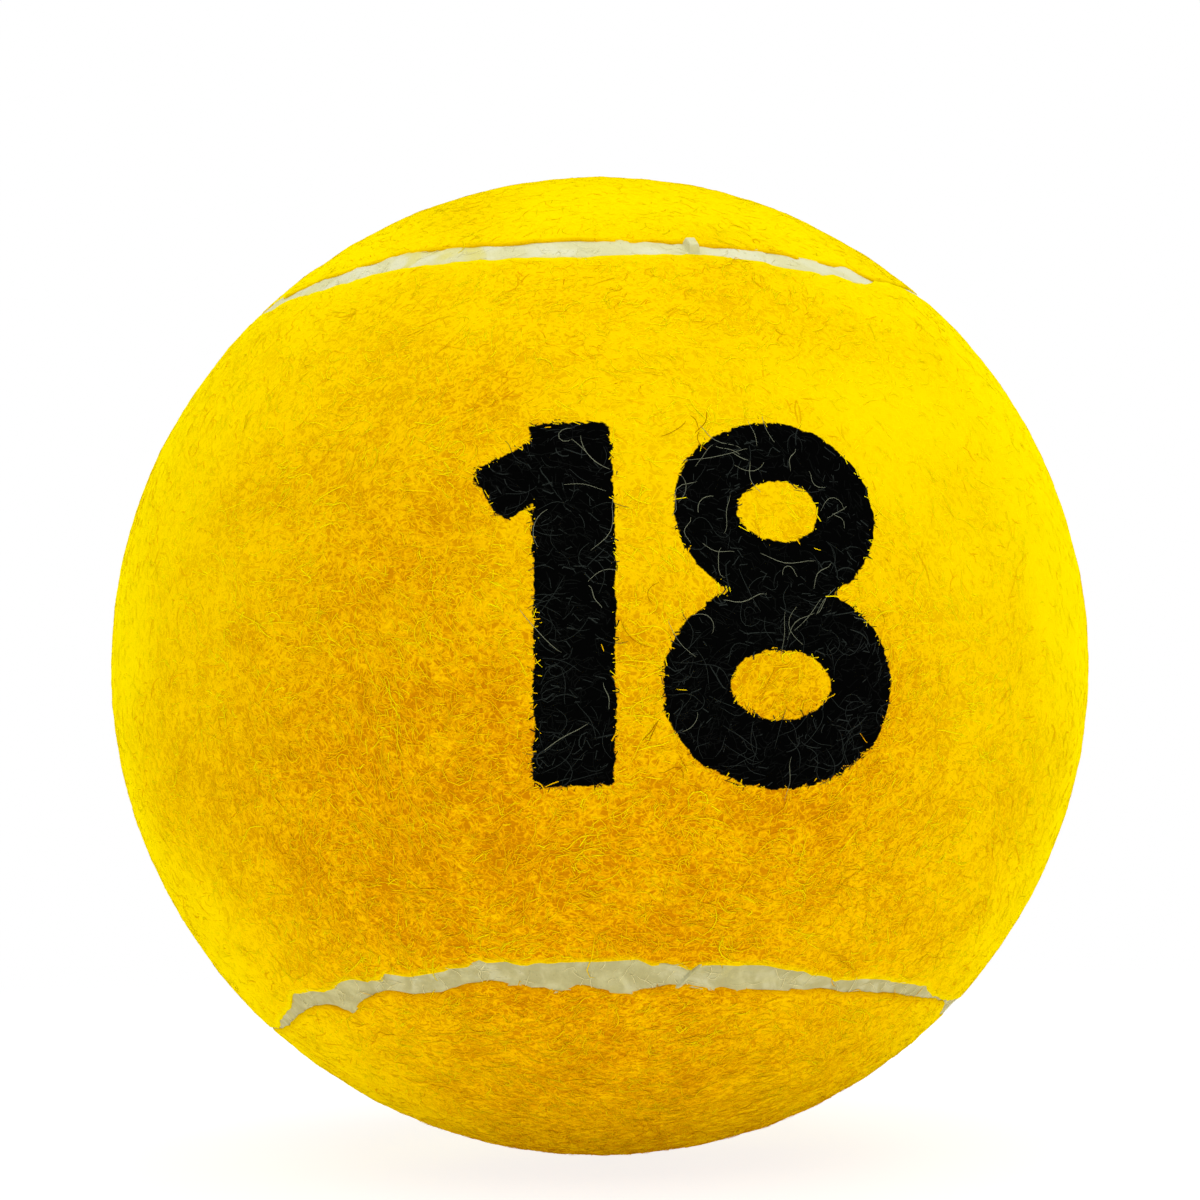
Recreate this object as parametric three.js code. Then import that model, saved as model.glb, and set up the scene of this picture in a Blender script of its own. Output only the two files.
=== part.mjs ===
// A felt-covered ball for tape-ball games, built as the real one is laid up:
// two moulded rubber half-shells cemented at their rims, a coat of cement under each cover panel,
// two identical waisted felt panels that interlock round the core, and the moulded rubber seam
// that fills the one closed groove between them.
// Millimetres, +Z up, origin at the ball's centre. The front panel's waist faces -Y, and the
// panel runs lengthwise round the ball in the XY plane. The rear panel runs round in the YZ plane.

import * as THREE from 'three';
import { mergeVertices } from 'three/addons/utils/BufferGeometryUtils.js';

// Driving dimensions of the layers, from the inside out
const CORE_DIAMETER = 60.0;
const CORE_WALL = 3.4;
const PANEL_CEMENT_THICKNESS = 0.3;
const FELT_THICKNESS = 2.7;

// Clearance between neighbouring layers
const LAYER_CLEARANCE = 0.2;

// The joint between the two half-shells, in the plane across Y
const JOINT_CEMENT_THICKNESS = 0.4;
const JOINT_BEAD = 0.6;
const RIM_CHAMFER = 0.35;

// The groove between the felt panels, and the seam in it
const GROOVE_WIDTH = 2.6;
const SEAM_SIDE_CLEARANCE = 0.2;
const SEAM_RECESS = 0.55;
const SEAM_CHAMFER = 0.35;
const FELT_EDGE_RADIUS = 1.1;

// Flash left on the seam where the halves of the curing mould part
const FLASH_WIDTH = 1.2;
const FLASH_HEIGHT = 0.5;
const MOULD_PLANE_TURN = THREE.MathUtils.degToRad(9.8);

// The seam line on a sphere: its turn round Y grows steadily with a swing, and its rise
// above the XZ plane goes up and down twice in one closed lap
const SEAM_RISE = THREE.MathUtils.degToRad(51.8);
const SEAM_CREST = 0.005;
const SEAM_SWING = 0.249;
const SEAM_SHOULDER = 0.024;

// Fineness of the meshes
const SEAM_STEPS = 84;
const PANEL_STEPS_ACROSS = 12;
const FELT_EDGE_STEPS = 3;
const CORE_STEPS_ROUND = 44;
const CORE_STEPS_TO_RIM = 10;

// Radii that follow from the layers
const coreRadius = CORE_DIAMETER / 2;
const cementInnerRadius = coreRadius + LAYER_CLEARANCE;
const cementOuterRadius = cementInnerRadius + PANEL_CEMENT_THICKNESS;
const feltInnerRadius = cementOuterRadius + LAYER_CLEARANCE;
const ballRadius = feltInnerRadius + FELT_THICKNESS;
const seamTopRadius = ballRadius - SEAM_RECESS;
const panelInset = GROOVE_WIDTH / 2;

const rubber = new THREE.MeshStandardMaterial({ name: 'core_rubber', color: 0x2b2a28, roughness: 0.8 });
const cement = new THREE.MeshStandardMaterial({ name: 'cement', color: 0xcbb98a, roughness: 0.6 });
const felt = new THREE.MeshStandardMaterial({ name: 'felt', color: 0xf5c400, roughness: 1.0 });
const seamRubber = new THREE.MeshStandardMaterial({ name: 'seam_rubber', color: 0xe4e2cf, roughness: 0.7 });

// The closed centre line of the seam on the unit sphere. t runs once round from 0 to 1,
// and t and 1 - t are mirrored in the XY plane.
class SeamCurve extends THREE.Curve {
  getPoint(t, target = new THREE.Vector3()) {
    const a = 4 * Math.PI * t;
    const turn = a / 2 + SEAM_SWING * Math.sin(2 * a) + SEAM_SHOULDER * Math.sin(4 * a);
    const rise = SEAM_RISE * Math.cos(a) + SEAM_CREST * Math.cos(3 * a);
    return target.set(Math.cos(rise) * Math.cos(turn), Math.sin(rise), -Math.cos(rise) * Math.sin(turn));
  }

  getTangent(t, target = new THREE.Vector3()) {
    const step = 1e-5;
    return target.copy(this.getPoint(t + step)).sub(this.getPoint(t - step)).normalize();
  }

  // The point at a distance from the line, measured over a sphere of the ball's radius and
  // towards the front panel, carried in or out to the given radius
  pointBeside(t, distance, radius) {
    const onLine = this.getPoint(t);
    const sideways = this.getTangent(t).cross(onLine).normalize();
    const angle = distance / ballRadius;
    return onLine.multiplyScalar(Math.cos(angle)).addScaledVector(sideways, Math.sin(angle))
      .multiplyScalar(radius);
  }
}

const seamLine = new SeamCurve();

function evenSteps(count) {
  return Array.from({ length: count }, (_, i) => i / count);
}

// A closed ring of points beside the seam line
function ringBeside(steps, distance, radius) {
  return steps.map((t) => seamLine.pointBeside(t, distance, radius));
}

// Builds a body from triangles given as triples of points
function bodyFromTriangles(triangles) {
  const positions = triangles.flatMap((corners) => corners.flatMap((p) => [p.x, p.y, p.z]));
  const loose = new THREE.BufferGeometry();
  loose.setAttribute('position', new THREE.Float32BufferAttribute(positions, 3));
  const body = mergeVertices(loose, 1e-5);
  body.computeVertexNormals();
  return body;
}

function addQuad(triangles, a, b, c, d) {
  triangles.push([a, b, c], [a, c, d]);
}

// Triangles between two rings of the same number of points
function addBand(triangles, first, second) {
  for (let i = 0; i < first.length; i++) {
    const next = (i + 1) % first.length;
    addQuad(triangles, first[i], first[next], second[next], second[i]);
  }
}

// Point part way along the great arc from a to b, which lie at the same radius
function alongArc(a, b, share) {
  const angle = a.angleTo(b);
  if (angle < 1e-6) {
    return a.clone();
  }
  const fromA = Math.sin((1 - share) * angle) / Math.sin(angle);
  const fromB = Math.sin(share * angle) / Math.sin(angle);
  return a.clone().multiplyScalar(fromA).addScaledVector(b, fromB);
}

// The panel's spherical face inside a ring: a loft of great arcs between mirrored ring points.
// outward gives the face that looks away from the ball's centre.
function addPanelFace(triangles, ring, outward) {
  const half = ring.length / 2;
  const column = (i) => {
    const mirrored = ring[(ring.length - i) % ring.length];
    const shares = Array.from({ length: PANEL_STEPS_ACROSS + 1 }, (_, k) => k / PANEL_STEPS_ACROSS);
    return shares.map((share) => alongArc(ring[i], mirrored, share));
  };
  const columns = Array.from({ length: half - 1 }, (_, i) => column(i + 1));
  const face = [];
  for (let k = 0; k < PANEL_STEPS_ACROSS; k++) {
    face.push([ring[0], columns[0][k], columns[0][k + 1]]);
    for (let i = 0; i + 1 < columns.length; i++) {
      addQuad(face, columns[i][k], columns[i + 1][k], columns[i + 1][k + 1], columns[i][k + 1]);
    }
    face.push([columns[half - 2][k], ring[half], columns[half - 2][k + 1]]);
  }
  face.forEach(([a, b, c]) => triangles.push(outward ? [a, c, b] : [a, b, c]));
}

// A waisted layer of the cover: profile lists its edge from the inner face to the outer face
// as pairs of distance from the seam line and radius
function panelBody(profile) {
  const steps = evenSteps(SEAM_STEPS);
  const rings = profile.map(([distance, radius]) => ringBeside(steps, distance, radius));
  const triangles = [];
  addPanelFace(triangles, rings[0], false);
  for (let i = 0; i + 1 < rings.length; i++) {
    addBand(triangles, rings[i + 1], rings[i]);
  }
  addPanelFace(triangles, rings[rings.length - 1], true);
  return bodyFromTriangles(triangles);
}

// The cut edge of the felt rises from the cement and rolls over onto the napped face
function feltEdgeProfile() {
  const roll = Math.min(FELT_EDGE_RADIUS, 0.8 * FELT_THICKNESS);
  const profile = [[panelInset, feltInnerRadius]];
  for (let i = 0; i <= FELT_EDGE_STEPS; i++) {
    const angle = (i / FELT_EDGE_STEPS) * (Math.PI / 2);
    const distance = panelInset + roll * (1 - Math.cos(angle));
    profile.push([distance, ballRadius - roll + roll * Math.sin(angle)]);
  }
  return profile;
}

function cementEdgeProfile() {
  return [
    [panelInset, cementInnerRadius],
    [panelInset, cementOuterRadius],
  ];
}

// The two places where the mould's parting plane, turned about Z, cuts the seam at the waist
function flashPlaces() {
  const planeNormal = new THREE.Vector3(Math.cos(MOULD_PLANE_TURN), Math.sin(MOULD_PLANE_TURN), 0);
  const side = (t) => seamLine.getPoint(t).dot(planeNormal);
  return [0.25, 0.75].map((middle) => {
    let low = middle - 0.08;
    let high = middle + 0.08;
    for (let i = 0; i < 40; i++) {
      const centre = (low + high) / 2;
      if (side(centre) * side(low) > 0) {
        low = centre;
      } else {
        high = centre;
      }
    }
    return low;
  });
}

// The moulded seam: a chamfered section carried round the seam line, with a nub of flash
// where the mould parts
function seamBody() {
  const lineLength = seamLine.getLength() * ballRadius;
  const half = FLASH_WIDTH / 2 / lineLength;
  const nubs = flashPlaces();
  const beside = nubs.flatMap((t) => [t - half, t - half / 3, t + half / 3, t + half]);
  const clearOfNubs = evenSteps(SEAM_STEPS).filter((t) => nubs.every((n) => Math.abs(t - n) > 1.5 * half));
  const steps = [...clearOfNubs, ...beside].sort((a, b) => a - b);
  const lift = (t) => (nubs.some((n) => Math.abs(t - n) < half / 2) ? FLASH_HEIGHT : 0);
  const halfWidth = panelInset - SEAM_SIDE_CLEARANCE;
  const chamfer = Math.min(SEAM_CHAMFER, halfWidth / 2);
  const section = [
    [halfWidth, cementInnerRadius, 0],
    [halfWidth, seamTopRadius - chamfer, 0],
    [halfWidth - chamfer, seamTopRadius, 1],
    [chamfer - halfWidth, seamTopRadius, 1],
    [-halfWidth, seamTopRadius - chamfer, 0],
    [-halfWidth, cementInnerRadius, 0],
  ];
  const rings = section.map(([distance, radius, lifted]) =>
    steps.map((t) => seamLine.pointBeside(t, distance, radius + lifted * lift(t))));
  const triangles = [];
  rings.forEach((ring, i) => addBand(triangles, ring, rings[(i + 1) % rings.length]));
  return bodyFromTriangles(triangles);
}

// One moulded half-shell of the core, open towards the joint, with chamfered rims
function coreHalfBody() {
  const rimHeight = JOINT_CEMENT_THICKNESS / 2 + LAYER_CLEARANCE;
  const innerRadius = coreRadius - CORE_WALL;
  const chamfer = Math.min(RIM_CHAMFER, CORE_WALL / 4);
  const arc = (radius, fromHeight) => {
    const lowest = Math.asin(fromHeight / radius);
    return Array.from({ length: CORE_STEPS_TO_RIM + 1 }, (_, i) => {
      const angle = lowest + (i / CORE_STEPS_TO_RIM) * (Math.PI / 2 - lowest);
      const onAxis = i === CORE_STEPS_TO_RIM;
      return new THREE.Vector2(onAxis ? 0 : radius * Math.cos(angle), radius * Math.sin(angle));
    });
  };
  const outside = arc(coreRadius, rimHeight + chamfer);
  const inside = arc(innerRadius, rimHeight + chamfer).reverse();
  const rim = [
    new THREE.Vector2(innerRadius + chamfer, rimHeight),
    new THREE.Vector2(coreRadius - chamfer, rimHeight),
  ];
  const shell = new THREE.LatheGeometry([...inside, ...rim, ...outside], CORE_STEPS_ROUND);
  shell.deleteAttribute('normal');
  shell.deleteAttribute('uv');
  return mergeVertices(shell, 1e-4);
}

// The cement line between the rims, squeezed out into a small bead inside
function jointCementBody() {
  const innerRadius = coreRadius - CORE_WALL;
  const half = JOINT_CEMENT_THICKNESS / 2;
  const outline = [
    new THREE.Vector2(coreRadius - RIM_CHAMFER, -half),
    new THREE.Vector2(coreRadius - RIM_CHAMFER, half),
    new THREE.Vector2(innerRadius + RIM_CHAMFER, half),
    new THREE.Vector2(innerRadius - JOINT_BEAD / 2, half),
    new THREE.Vector2(innerRadius - JOINT_BEAD, 0),
    new THREE.Vector2(innerRadius - JOINT_BEAD / 2, -half),
    new THREE.Vector2(innerRadius + RIM_CHAMFER, -half),
    new THREE.Vector2(coreRadius - RIM_CHAMFER, -half),
  ];
  const ring = new THREE.LatheGeometry(outline, CORE_STEPS_ROUND);
  ring.deleteAttribute('normal');
  ring.deleteAttribute('uv');
  return mergeVertices(ring, 1e-4);
}

function namedMesh(name, geometry, material) {
  const mesh = new THREE.Mesh(geometry, material);
  mesh.name = name;
  return mesh;
}

const ball = new THREE.Group();
ball.name = 'tape_ball';

// The core: the same moulding twice, the front one turned over about X
const coreHalf = coreHalfBody();
const coreRear = namedMesh('core_half_rear', coreHalf, rubber);
const coreFront = namedMesh('core_half_front', coreHalf, rubber);
coreFront.rotation.x = Math.PI;
ball.add(coreRear, coreFront, namedMesh('core_joint_cement', jointCementBody(), cement));

// The cover: the rear panel and its cement are the front ones turned half round the axis
// midway between +X and -Z
const coverFront = new THREE.Group();
const coverRear = new THREE.Group();
coverRear.rotateOnAxis(new THREE.Vector3(1, 0, -1).normalize(), Math.PI);
const cementLayer = panelBody(cementEdgeProfile());
const feltPanel = panelBody(feltEdgeProfile());
coverFront.add(namedMesh('panel_cement_front', cementLayer, cement));
coverFront.add(namedMesh('felt_panel_front', feltPanel, felt));
coverRear.add(namedMesh('panel_cement_rear', cementLayer, cement));
coverRear.add(namedMesh('felt_panel_rear', feltPanel, felt));
ball.add(coverFront, coverRear, namedMesh('seam_band', seamBody(), seamRubber));

export default ball;
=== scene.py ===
"""The looks of a felt-covered ball: napped felt panels, a moulded seam and a plain printed number.

The ball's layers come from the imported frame. The two felt panels and the seam are modelled here as
fine surfaces round the same seam line, and each panel carries its nap as thousands of curled fibres.
All lengths are in metres, in the frame of the part.
"""

from __future__ import annotations

import logging
import math
from collections.abc import Callable, Sequence
from dataclasses import dataclass
from enum import Enum

import bpy
import numpy as np
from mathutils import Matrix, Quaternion, Vector


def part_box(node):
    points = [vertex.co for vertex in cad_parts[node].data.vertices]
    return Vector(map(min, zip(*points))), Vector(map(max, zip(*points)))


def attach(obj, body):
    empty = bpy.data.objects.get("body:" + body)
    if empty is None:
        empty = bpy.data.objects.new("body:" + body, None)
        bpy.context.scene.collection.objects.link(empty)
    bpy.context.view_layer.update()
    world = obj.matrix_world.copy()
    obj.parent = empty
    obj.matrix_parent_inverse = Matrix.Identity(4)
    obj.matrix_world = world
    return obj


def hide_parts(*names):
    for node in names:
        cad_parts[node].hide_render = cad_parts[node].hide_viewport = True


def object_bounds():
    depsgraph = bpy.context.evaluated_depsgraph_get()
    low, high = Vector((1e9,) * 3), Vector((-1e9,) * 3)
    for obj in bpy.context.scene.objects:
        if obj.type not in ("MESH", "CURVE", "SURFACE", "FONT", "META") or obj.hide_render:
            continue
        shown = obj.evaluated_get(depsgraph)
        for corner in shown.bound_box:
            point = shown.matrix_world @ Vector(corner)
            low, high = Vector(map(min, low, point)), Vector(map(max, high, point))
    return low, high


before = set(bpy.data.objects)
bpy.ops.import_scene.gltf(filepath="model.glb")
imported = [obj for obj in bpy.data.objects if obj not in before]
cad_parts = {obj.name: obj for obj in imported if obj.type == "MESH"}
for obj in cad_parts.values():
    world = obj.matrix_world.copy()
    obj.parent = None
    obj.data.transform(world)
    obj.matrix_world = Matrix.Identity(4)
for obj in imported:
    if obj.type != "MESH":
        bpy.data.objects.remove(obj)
CAD_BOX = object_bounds()

LOG = logging.getLogger("ball")

MM = 0.001
BALL_RADIUS = float(CAD_BOX[1][0])
CORE_RADIUS = float(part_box("core_half_rear")[1][0])

Array = np.ndarray


def smooth(value: Array) -> Array:
    """Returns the smooth step 3x^2 - 2x^3 of values clipped to 0 to 1."""
    x = np.clip(value, 0.0, 1.0)
    return x * x * (3.0 - 2.0 * x)


def unit(vectors: Array) -> Array:
    """Returns each row divided by its length."""
    return vectors / np.linalg.norm(vectors, axis=-1, keepdims=True)


@dataclass(frozen=True)
class LatticeNoise:
    """Smooth noise from -1 to 1 between seeded random values on a repeating lattice.

    Attributes:
        seed: the seed of the lattice's values.
        cells: the lattice's cells each way before it repeats.
        offset: how far places are shifted over the lattice, in cells.
        shift: how far each smaller size is shifted against the one before, in widest cells.
        gain: how strong the summed noise is.
    """

    seed: int
    cells: int = 48
    offset: float = 1000.0
    shift: float = 7.3
    gain: float = 1.6

    def values(self, points: Array, size: float) -> Array:
        """Interpolates the lattice, with cells of one size.

        Args:
            points: places, one a row.
            size: the width of a cell, in the points' units.

        Returns:
            One value for each point.
        """
        lattice = np.random.default_rng(self.seed).uniform(-1, 1, (self.cells,) * 3)
        scaled = np.asarray(points, float) / size + self.offset
        low = np.floor(scaled).astype(int)
        share = smooth(scaled - low)
        low %= self.cells
        high = (low + 1) % self.cells
        total = np.zeros(len(scaled))
        for corner in range(8):
            bits = [(corner >> axis) & 1 for axis in range(3)]
            index = [high[:, k] if bits[k] else low[:, k] for k in range(3)]
            weight = np.ones(len(scaled))
            for axis in range(3):
                weight *= share[:, axis] if bits[axis] else 1.0 - share[:, axis]
            total += weight * lattice[index[0], index[1], index[2]]
        return total

    def octaves(self, points: Array, size: float, count: int = 3) -> Array:
        """Sums the noise at halving sizes and strengths.

        Args:
            points: places, one a row.
            size: the widest cell.
            count: how many sizes are summed.

        Returns:
            One value for each point, mostly within -1 to 1.
        """
        strengths = 0.5 ** np.arange(count)
        layers = [
            strength * self.values(points + self.shift * k * size, size * strength)
            for k, strength in enumerate(strengths)
        ]
        return self.gain * sum(layers) / strengths.sum()


@dataclass(frozen=True)
class SeamLine:
    """The closed centre line of the seam on the unit sphere.

    With a the angle that runs twice round for one lap, the turn round Y is
    a/2 + swing sin 2a + shoulder sin 4a, and the rise above the XZ plane is
    rise cos a + crest cos 3a.

    Attributes:
        rise: the main rise, in radians.
        crest: the third harmonic of the rise.
        swing: the swing of the turn.
        shoulder: the second harmonic of that swing.
        samples: points for finding the nearest place on the line.
        stride: how many of them lie between the points of the first, rough search.
        batch: about how many places are searched at a time.
    """

    rise: float = math.radians(51.8)
    crest: float = 0.005
    swing: float = 0.249
    shoulder: float = 0.024
    samples: int = 2400
    stride: int = 8
    batch: int = 20000

    def point(self, lap: Array) -> Array:
        """Returns the unit vectors at shares of a lap from 0 to 1."""
        a = 4 * np.pi * np.asarray(lap, float)
        turn = a / 2 + self.swing * np.sin(2 * a) + self.shoulder * np.sin(4 * a)
        rise = self.rise * np.cos(a) + self.crest * np.cos(3 * a)
        return np.stack([np.cos(rise) * np.cos(turn), np.sin(rise), -np.cos(rise) * np.sin(turn)], -1)

    def inward(self, lap: Array) -> Array:
        """Returns the unit vectors across the line, towards the front panel."""
        step = 1e-5
        along = self.point(lap + step) - self.point(lap - step)
        return unit(np.cross(along, self.point(lap)))

    def beside(self, lap: Array, distance: Array, radius: Array) -> Array:
        """Carries points sideways off the line and out to a radius.

        Args:
            lap: shares of a lap.
            distance: arc length on the ball's surface towards the front panel.
            radius: the distance from the ball's centre.

        Returns:
            The points, one a row.
        """
        angle = (np.asarray(distance) / BALL_RADIUS)[..., None]
        direction = np.cos(angle) * self.point(lap) + np.sin(angle) * self.inward(lap)
        return direction * np.asarray(radius)[..., None]

    def length(self) -> float:
        """Returns the line's length on the ball's surface."""
        points = self.point(np.linspace(0, 1, self.samples + 1))
        return float(np.linalg.norm(np.diff(points, axis=0), axis=1).sum() * BALL_RADIUS)

    def locate(self, directions: Array) -> tuple[Array, Array]:
        """Finds the nearest place on the line to each unit vector.

        Args:
            directions: unit vectors, one a row.

        Returns:
            The share of a lap there, and the arc length to it, positive on the front panel.
        """
        laps = np.arange(self.samples) / self.samples
        line, across = self.point(laps), self.inward(laps)
        around = np.arange(-self.stride, self.stride + 1)
        nearest = []
        for block in np.array_split(directions, 1 + len(directions) // self.batch):
            rough = self.stride * np.argmax(block @ line[:: self.stride].T, axis=1)
            close = (rough[:, None] + around) % self.samples
            best = np.argmax(np.einsum("ij,ikj->ik", block, line[close]), axis=1)
            nearest.append(close[np.arange(len(block)), best])
        nearest = np.concatenate(nearest)
        side = np.einsum("ij,ij->i", directions, across[nearest])
        return laps[nearest], np.arcsin(np.clip(side, -1, 1)) * BALL_RADIUS


SEAM = SeamLine()
SEAM_LENGTH = SEAM.length()


@dataclass(frozen=True)
class CutEdge:
    """The hand-trimmed edge of a felt panel, as its distance from the seam line all round.

    Knots give the edge over the two stretches of the waist that show their own character:
    pairs of millimetres along the seam from the waist's middle and millimetres from the line.
    Elsewhere the edge wanders with noise.

    Attributes:
        upper: knots round the waist's upper crossing.
        lower: knots round the waist's lower crossing.
        seed: the seed of the wander.
        upper_lap: the upper crossing's place along the seam.
        lower_lap: the lower crossing's place along the seam.
        usual: the usual distance from the line.
        wander: how far the edge strays from it.
        wander_size: how long such a stray is.
        nibble: how deep the shears' small nicks are.
        nibble_size: how long such a nick is.
        blend: over what length the knots give way to the wander.
    """

    upper: tuple[tuple[float, float], ...]
    lower: tuple[tuple[float, float], ...]
    seed: int
    upper_lap: float = 0.75
    lower_lap: float = 0.25
    usual: float = 0.74 * MM
    wander: float = 0.36 * MM
    wander_size: float = 5.0 * MM
    nibble: float = 0.10 * MM
    nibble_size: float = 0.5 * MM
    blend: float = 4.0 * MM

    def distance(self, lap: Array) -> Array:
        """Returns the edge's distance from the seam line at shares of a lap."""
        lap = np.asarray(lap, float) % 1.0
        places = SEAM.point(lap) * BALL_RADIUS
        edge = self.usual + self.wander * LatticeNoise(self.seed).octaves(places, self.wander_size)
        for knots, middle in ((self.upper, self.upper_lap), (self.lower, self.lower_lap)):
            along = (lap - middle) * SEAM_LENGTH
            at, offset = np.array(knots).T * MM
            known = np.interp(along, at, offset)
            outside = np.maximum(at[0] - along, along - at[-1])
            edge += smooth(1.0 - outside / self.blend) * (known - edge)
        edge += self.nibble * LatticeNoise(self.seed + 1).values(places, self.nibble_size)
        return edge


FRONT_EDGE = CutEdge(
    seed=11,
    upper=(
        (-29.8, 2.3), (-27.1, 2.0), (-25.5, 1.82), (-24.4, 1.45), (-23.1, 1.23), (-19.8, 1.13),
        (-18.7, 0.77), (-16.3, 0.42), (-14.7, 0.07), (-9.7, 0.03), (-5.1, 0.26), (-0.6, 0.41),
        (1.4, 0.14), (3.3, 0.04), (5.3, -0.07), (7.2, -0.16), (8.8, 0.11), (10.9, 0.07),
        (11.4, 0.47), (16.4, 0.67), (17.9, 1.08), (19.0, 1.12), (20.3, 0.64), (21.0, 0.56),
        (24.2, 0.54), (25.1, 0.84), (28.5, 1.2),
    ),
    lower=(
        (-34.1, 0.6), (-31.6, 0.44), (-30.0, 0.13), (-27.0, 0.01), (-26.0, 0.04), (-25.0, 0.18),
        (-24.0, 0.4), (-21.1, 0.17), (-18.8, 0.06), (-16.1, -0.21), (-15.0, -0.47), (-14.2, -0.17),
        (-13.0, -0.12), (-12.1, 0.12), (-10.6, 0.27), (-9.4, 0.45), (-5.7, 0.54), (-5.0, 0.44),
        (-4.5, 0.03), (-3.9, 0.42), (-2.0, 0.62), (-1.4, 0.97), (2.5, 0.98), (4.9, 0.77),
        (5.6, 0.61), (6.4, 0.99), (8.0, 0.99), (8.5, 1.25), (9.1, 0.65), (10.4, 0.61), (12.2, 0.33),
        (13.6, 0.25), (14.2, 0.49), (15.1, 0.69), (15.6, 0.26), (16.7, 0.36), (17.9, 0.63),
        (18.9, 0.64), (19.7, 0.22), (20.8, 0.17), (22.1, 0.5), (24.0, 0.72), (25.0, 0.19),
        (26.1, -0.19), (29.6, -0.76), (30.4, -1.12), (35.0, -1.0),
    ),
)
REAR_EDGE = CutEdge(
    seed=23,
    upper=(
        (-29.7, -1.4), (-27.3, -1.01), (-25.6, -0.86), (-24.5, -0.5), (-23.4, -0.23), (-21.4, 0.14),
        (-19.4, 0.42), (-18.6, 0.88), (-16.4, 1.18), (-15.6, 1.63), (-9.6, 1.57), (-6.1, 1.25),
        (-2.0, 1.4), (0.0, 1.25), (1.8, 1.03), (3.5, 1.2), (5.3, 1.22), (6.5, 1.0), (9.7, 1.03),
        (13.0, 0.98), (13.8, 0.66), (16.4, 0.42), (18.4, 0.43), (19.2, -0.19), (20.2, -0.59),
        (24.2, -0.51), (28.3, -0.25),
    ),
    lower=(
        (-34.0, 0.71), (-31.6, 0.99), (-30.0, 0.07), (-27.0, 0.05), (-25.9, 0.22), (-24.6, 0.36),
        (-22.5, 0.52), (-20.0, 0.75), (-16.3, 1.13), (-13.9, 1.04), (-10.8, 1.34), (-7.5, 1.12),
        (-5.5, 0.9), (-4.5, 0.82), (-3.5, 0.7), (-2.6, 0.98), (-1.0, 1.2), (1.2, 1.0), (2.4, 0.65),
        (4.1, 0.98), (5.5, 0.8), (6.1, 0.41), (8.5, 0.29), (9.9, 0.55), (11.6, 0.91), (13.8, 1.01),
        (15.5, 0.45), (16.7, 0.62), (18.9, 1.11), (20.3, 1.52), (20.7, 1.05), (21.7, 0.6),
        (23.6, 0.54), (26.1, 0.81), (28.5, 1.21), (35.0, 1.15),
    ),
)


Spot = tuple[float, float, float, float, float]


@dataclass(frozen=True)
class WearAndShade:
    """Where handling has matted the nap, so that the amber ground shows between its fibres, and
    painted light: deepest on the front and underneath, it paints the felt darker amber there as shade
    and leaves it lemon towards the outline and the top as painted sheen and light from above.

    Attributes:
        patches: the patches, each a direction from the ball's centre, a radius in degrees and how
            deep its middle is; the first two, on the front and underneath, are painted shade as well
            as wear.
        spared: the round spot of the print, where the field is lowered by that much.
        end: where a patch ends, in its radii.
        stray: how far the wear varies from place to place.
        stray_size: how wide such variations are.
        seed: the seed of the variations.
    """

    # The first two patches are partly wear and partly painted shade on the front and underneath; the
    # lemon left towards the outline and the top is painted sheen and light.
    patches: tuple[Spot, ...] = (
        (-0.07, -0.93, -0.36, 62.0, 1.0),
        (0.10, -0.42, -0.90, 44.0, 1.0),
        (0.55, 0.80, 0.22, 60.0, 0.55),
        (-0.70, 0.50, -0.50, 50.0, 0.50),
    )
    spared: Spot = (0.17, -0.98, 0.10, 26.0, 0.35)
    end: float = 1.15
    stray: float = 0.22
    stray_size: float = 9.0 * MM
    seed: int = 61

    def within(self, spot: Spot, directions: Array) -> Array:
        """Returns a spot's depth in its middle, less towards its rim, and 0 well outside it."""
        *middle, radius, depth = spot
        angle = np.degrees(np.arccos(np.clip(directions @ unit(np.array(middle)), -1, 1)))
        return depth * smooth(self.end - angle / radius)

    def share(self, directions: Array) -> Array:
        """Returns the field at unit vectors, from 0 to 1: wear, and painted shade on the front and
        underneath.
        """
        worn_and_shaded = np.max([self.within(patch, directions) for patch in self.patches], axis=0)
        worn_and_shaded -= self.within(self.spared, directions)
        stray = LatticeNoise(self.seed).octaves(directions * BALL_RADIUS, self.stray_size, 2)
        return np.clip(worn_and_shaded + self.stray * stray, 0, 1)


WEAR_AND_SHADE = WearAndShade()


@dataclass(frozen=True)
class Bar:
    """A straight stroke of a figure, in millimetres, with square ends.

    Attributes:
        start: the middle of one end, right and up of the figure's middle.
        end: the middle of the other end.
        width: the stroke's width.
        corner: the radius that the ink rounds its corners to.
    """

    start: tuple[float, float]
    end: tuple[float, float]
    width: float
    corner: float = 0.35

    def depth(self, right: Array, up: Array) -> Array:
        """Returns how deep each place lies in the stroke, negative outside."""
        begin, finish = np.array(self.start), np.array(self.end)
        long = float(np.hypot(*(finish - begin)))
        way, middle = (finish - begin) / long, (begin + finish) / 2
        x, y = right - middle[0], up - middle[1]
        along = np.abs(x * way[0] + y * way[1]) - long / 2 + self.corner
        across = np.abs(y * way[0] - x * way[1]) + (self.corner - self.width / 2)
        outside = np.hypot(np.maximum(along, 0), np.maximum(across, 0))
        return self.corner - outside - np.minimum(np.maximum(along, across), 0)


@dataclass(frozen=True)
class Hoop:
    """An oval loop of a figure, in millimetres.

    Attributes:
        centre: the loop's middle, right and up of the figure's middle.
        half_width: from its middle to the stroke's centre, across.
        half_height: the same, upwards.
        width: the stroke's width.
    """

    centre: tuple[float, float]
    half_width: float
    half_height: float
    width: float

    def depth(self, right: Array, up: Array) -> Array:
        """Returns how deep each place lies in the loop's stroke, negative outside."""
        x, y = (right - self.centre[0]) / self.half_width, (up - self.centre[1]) / self.half_height
        reach = np.hypot(x, y) + 1e-9
        slope = np.hypot(x / self.half_width, y / self.half_height) / reach
        return self.width / 2 - np.abs(reach - 1) / slope


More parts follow.
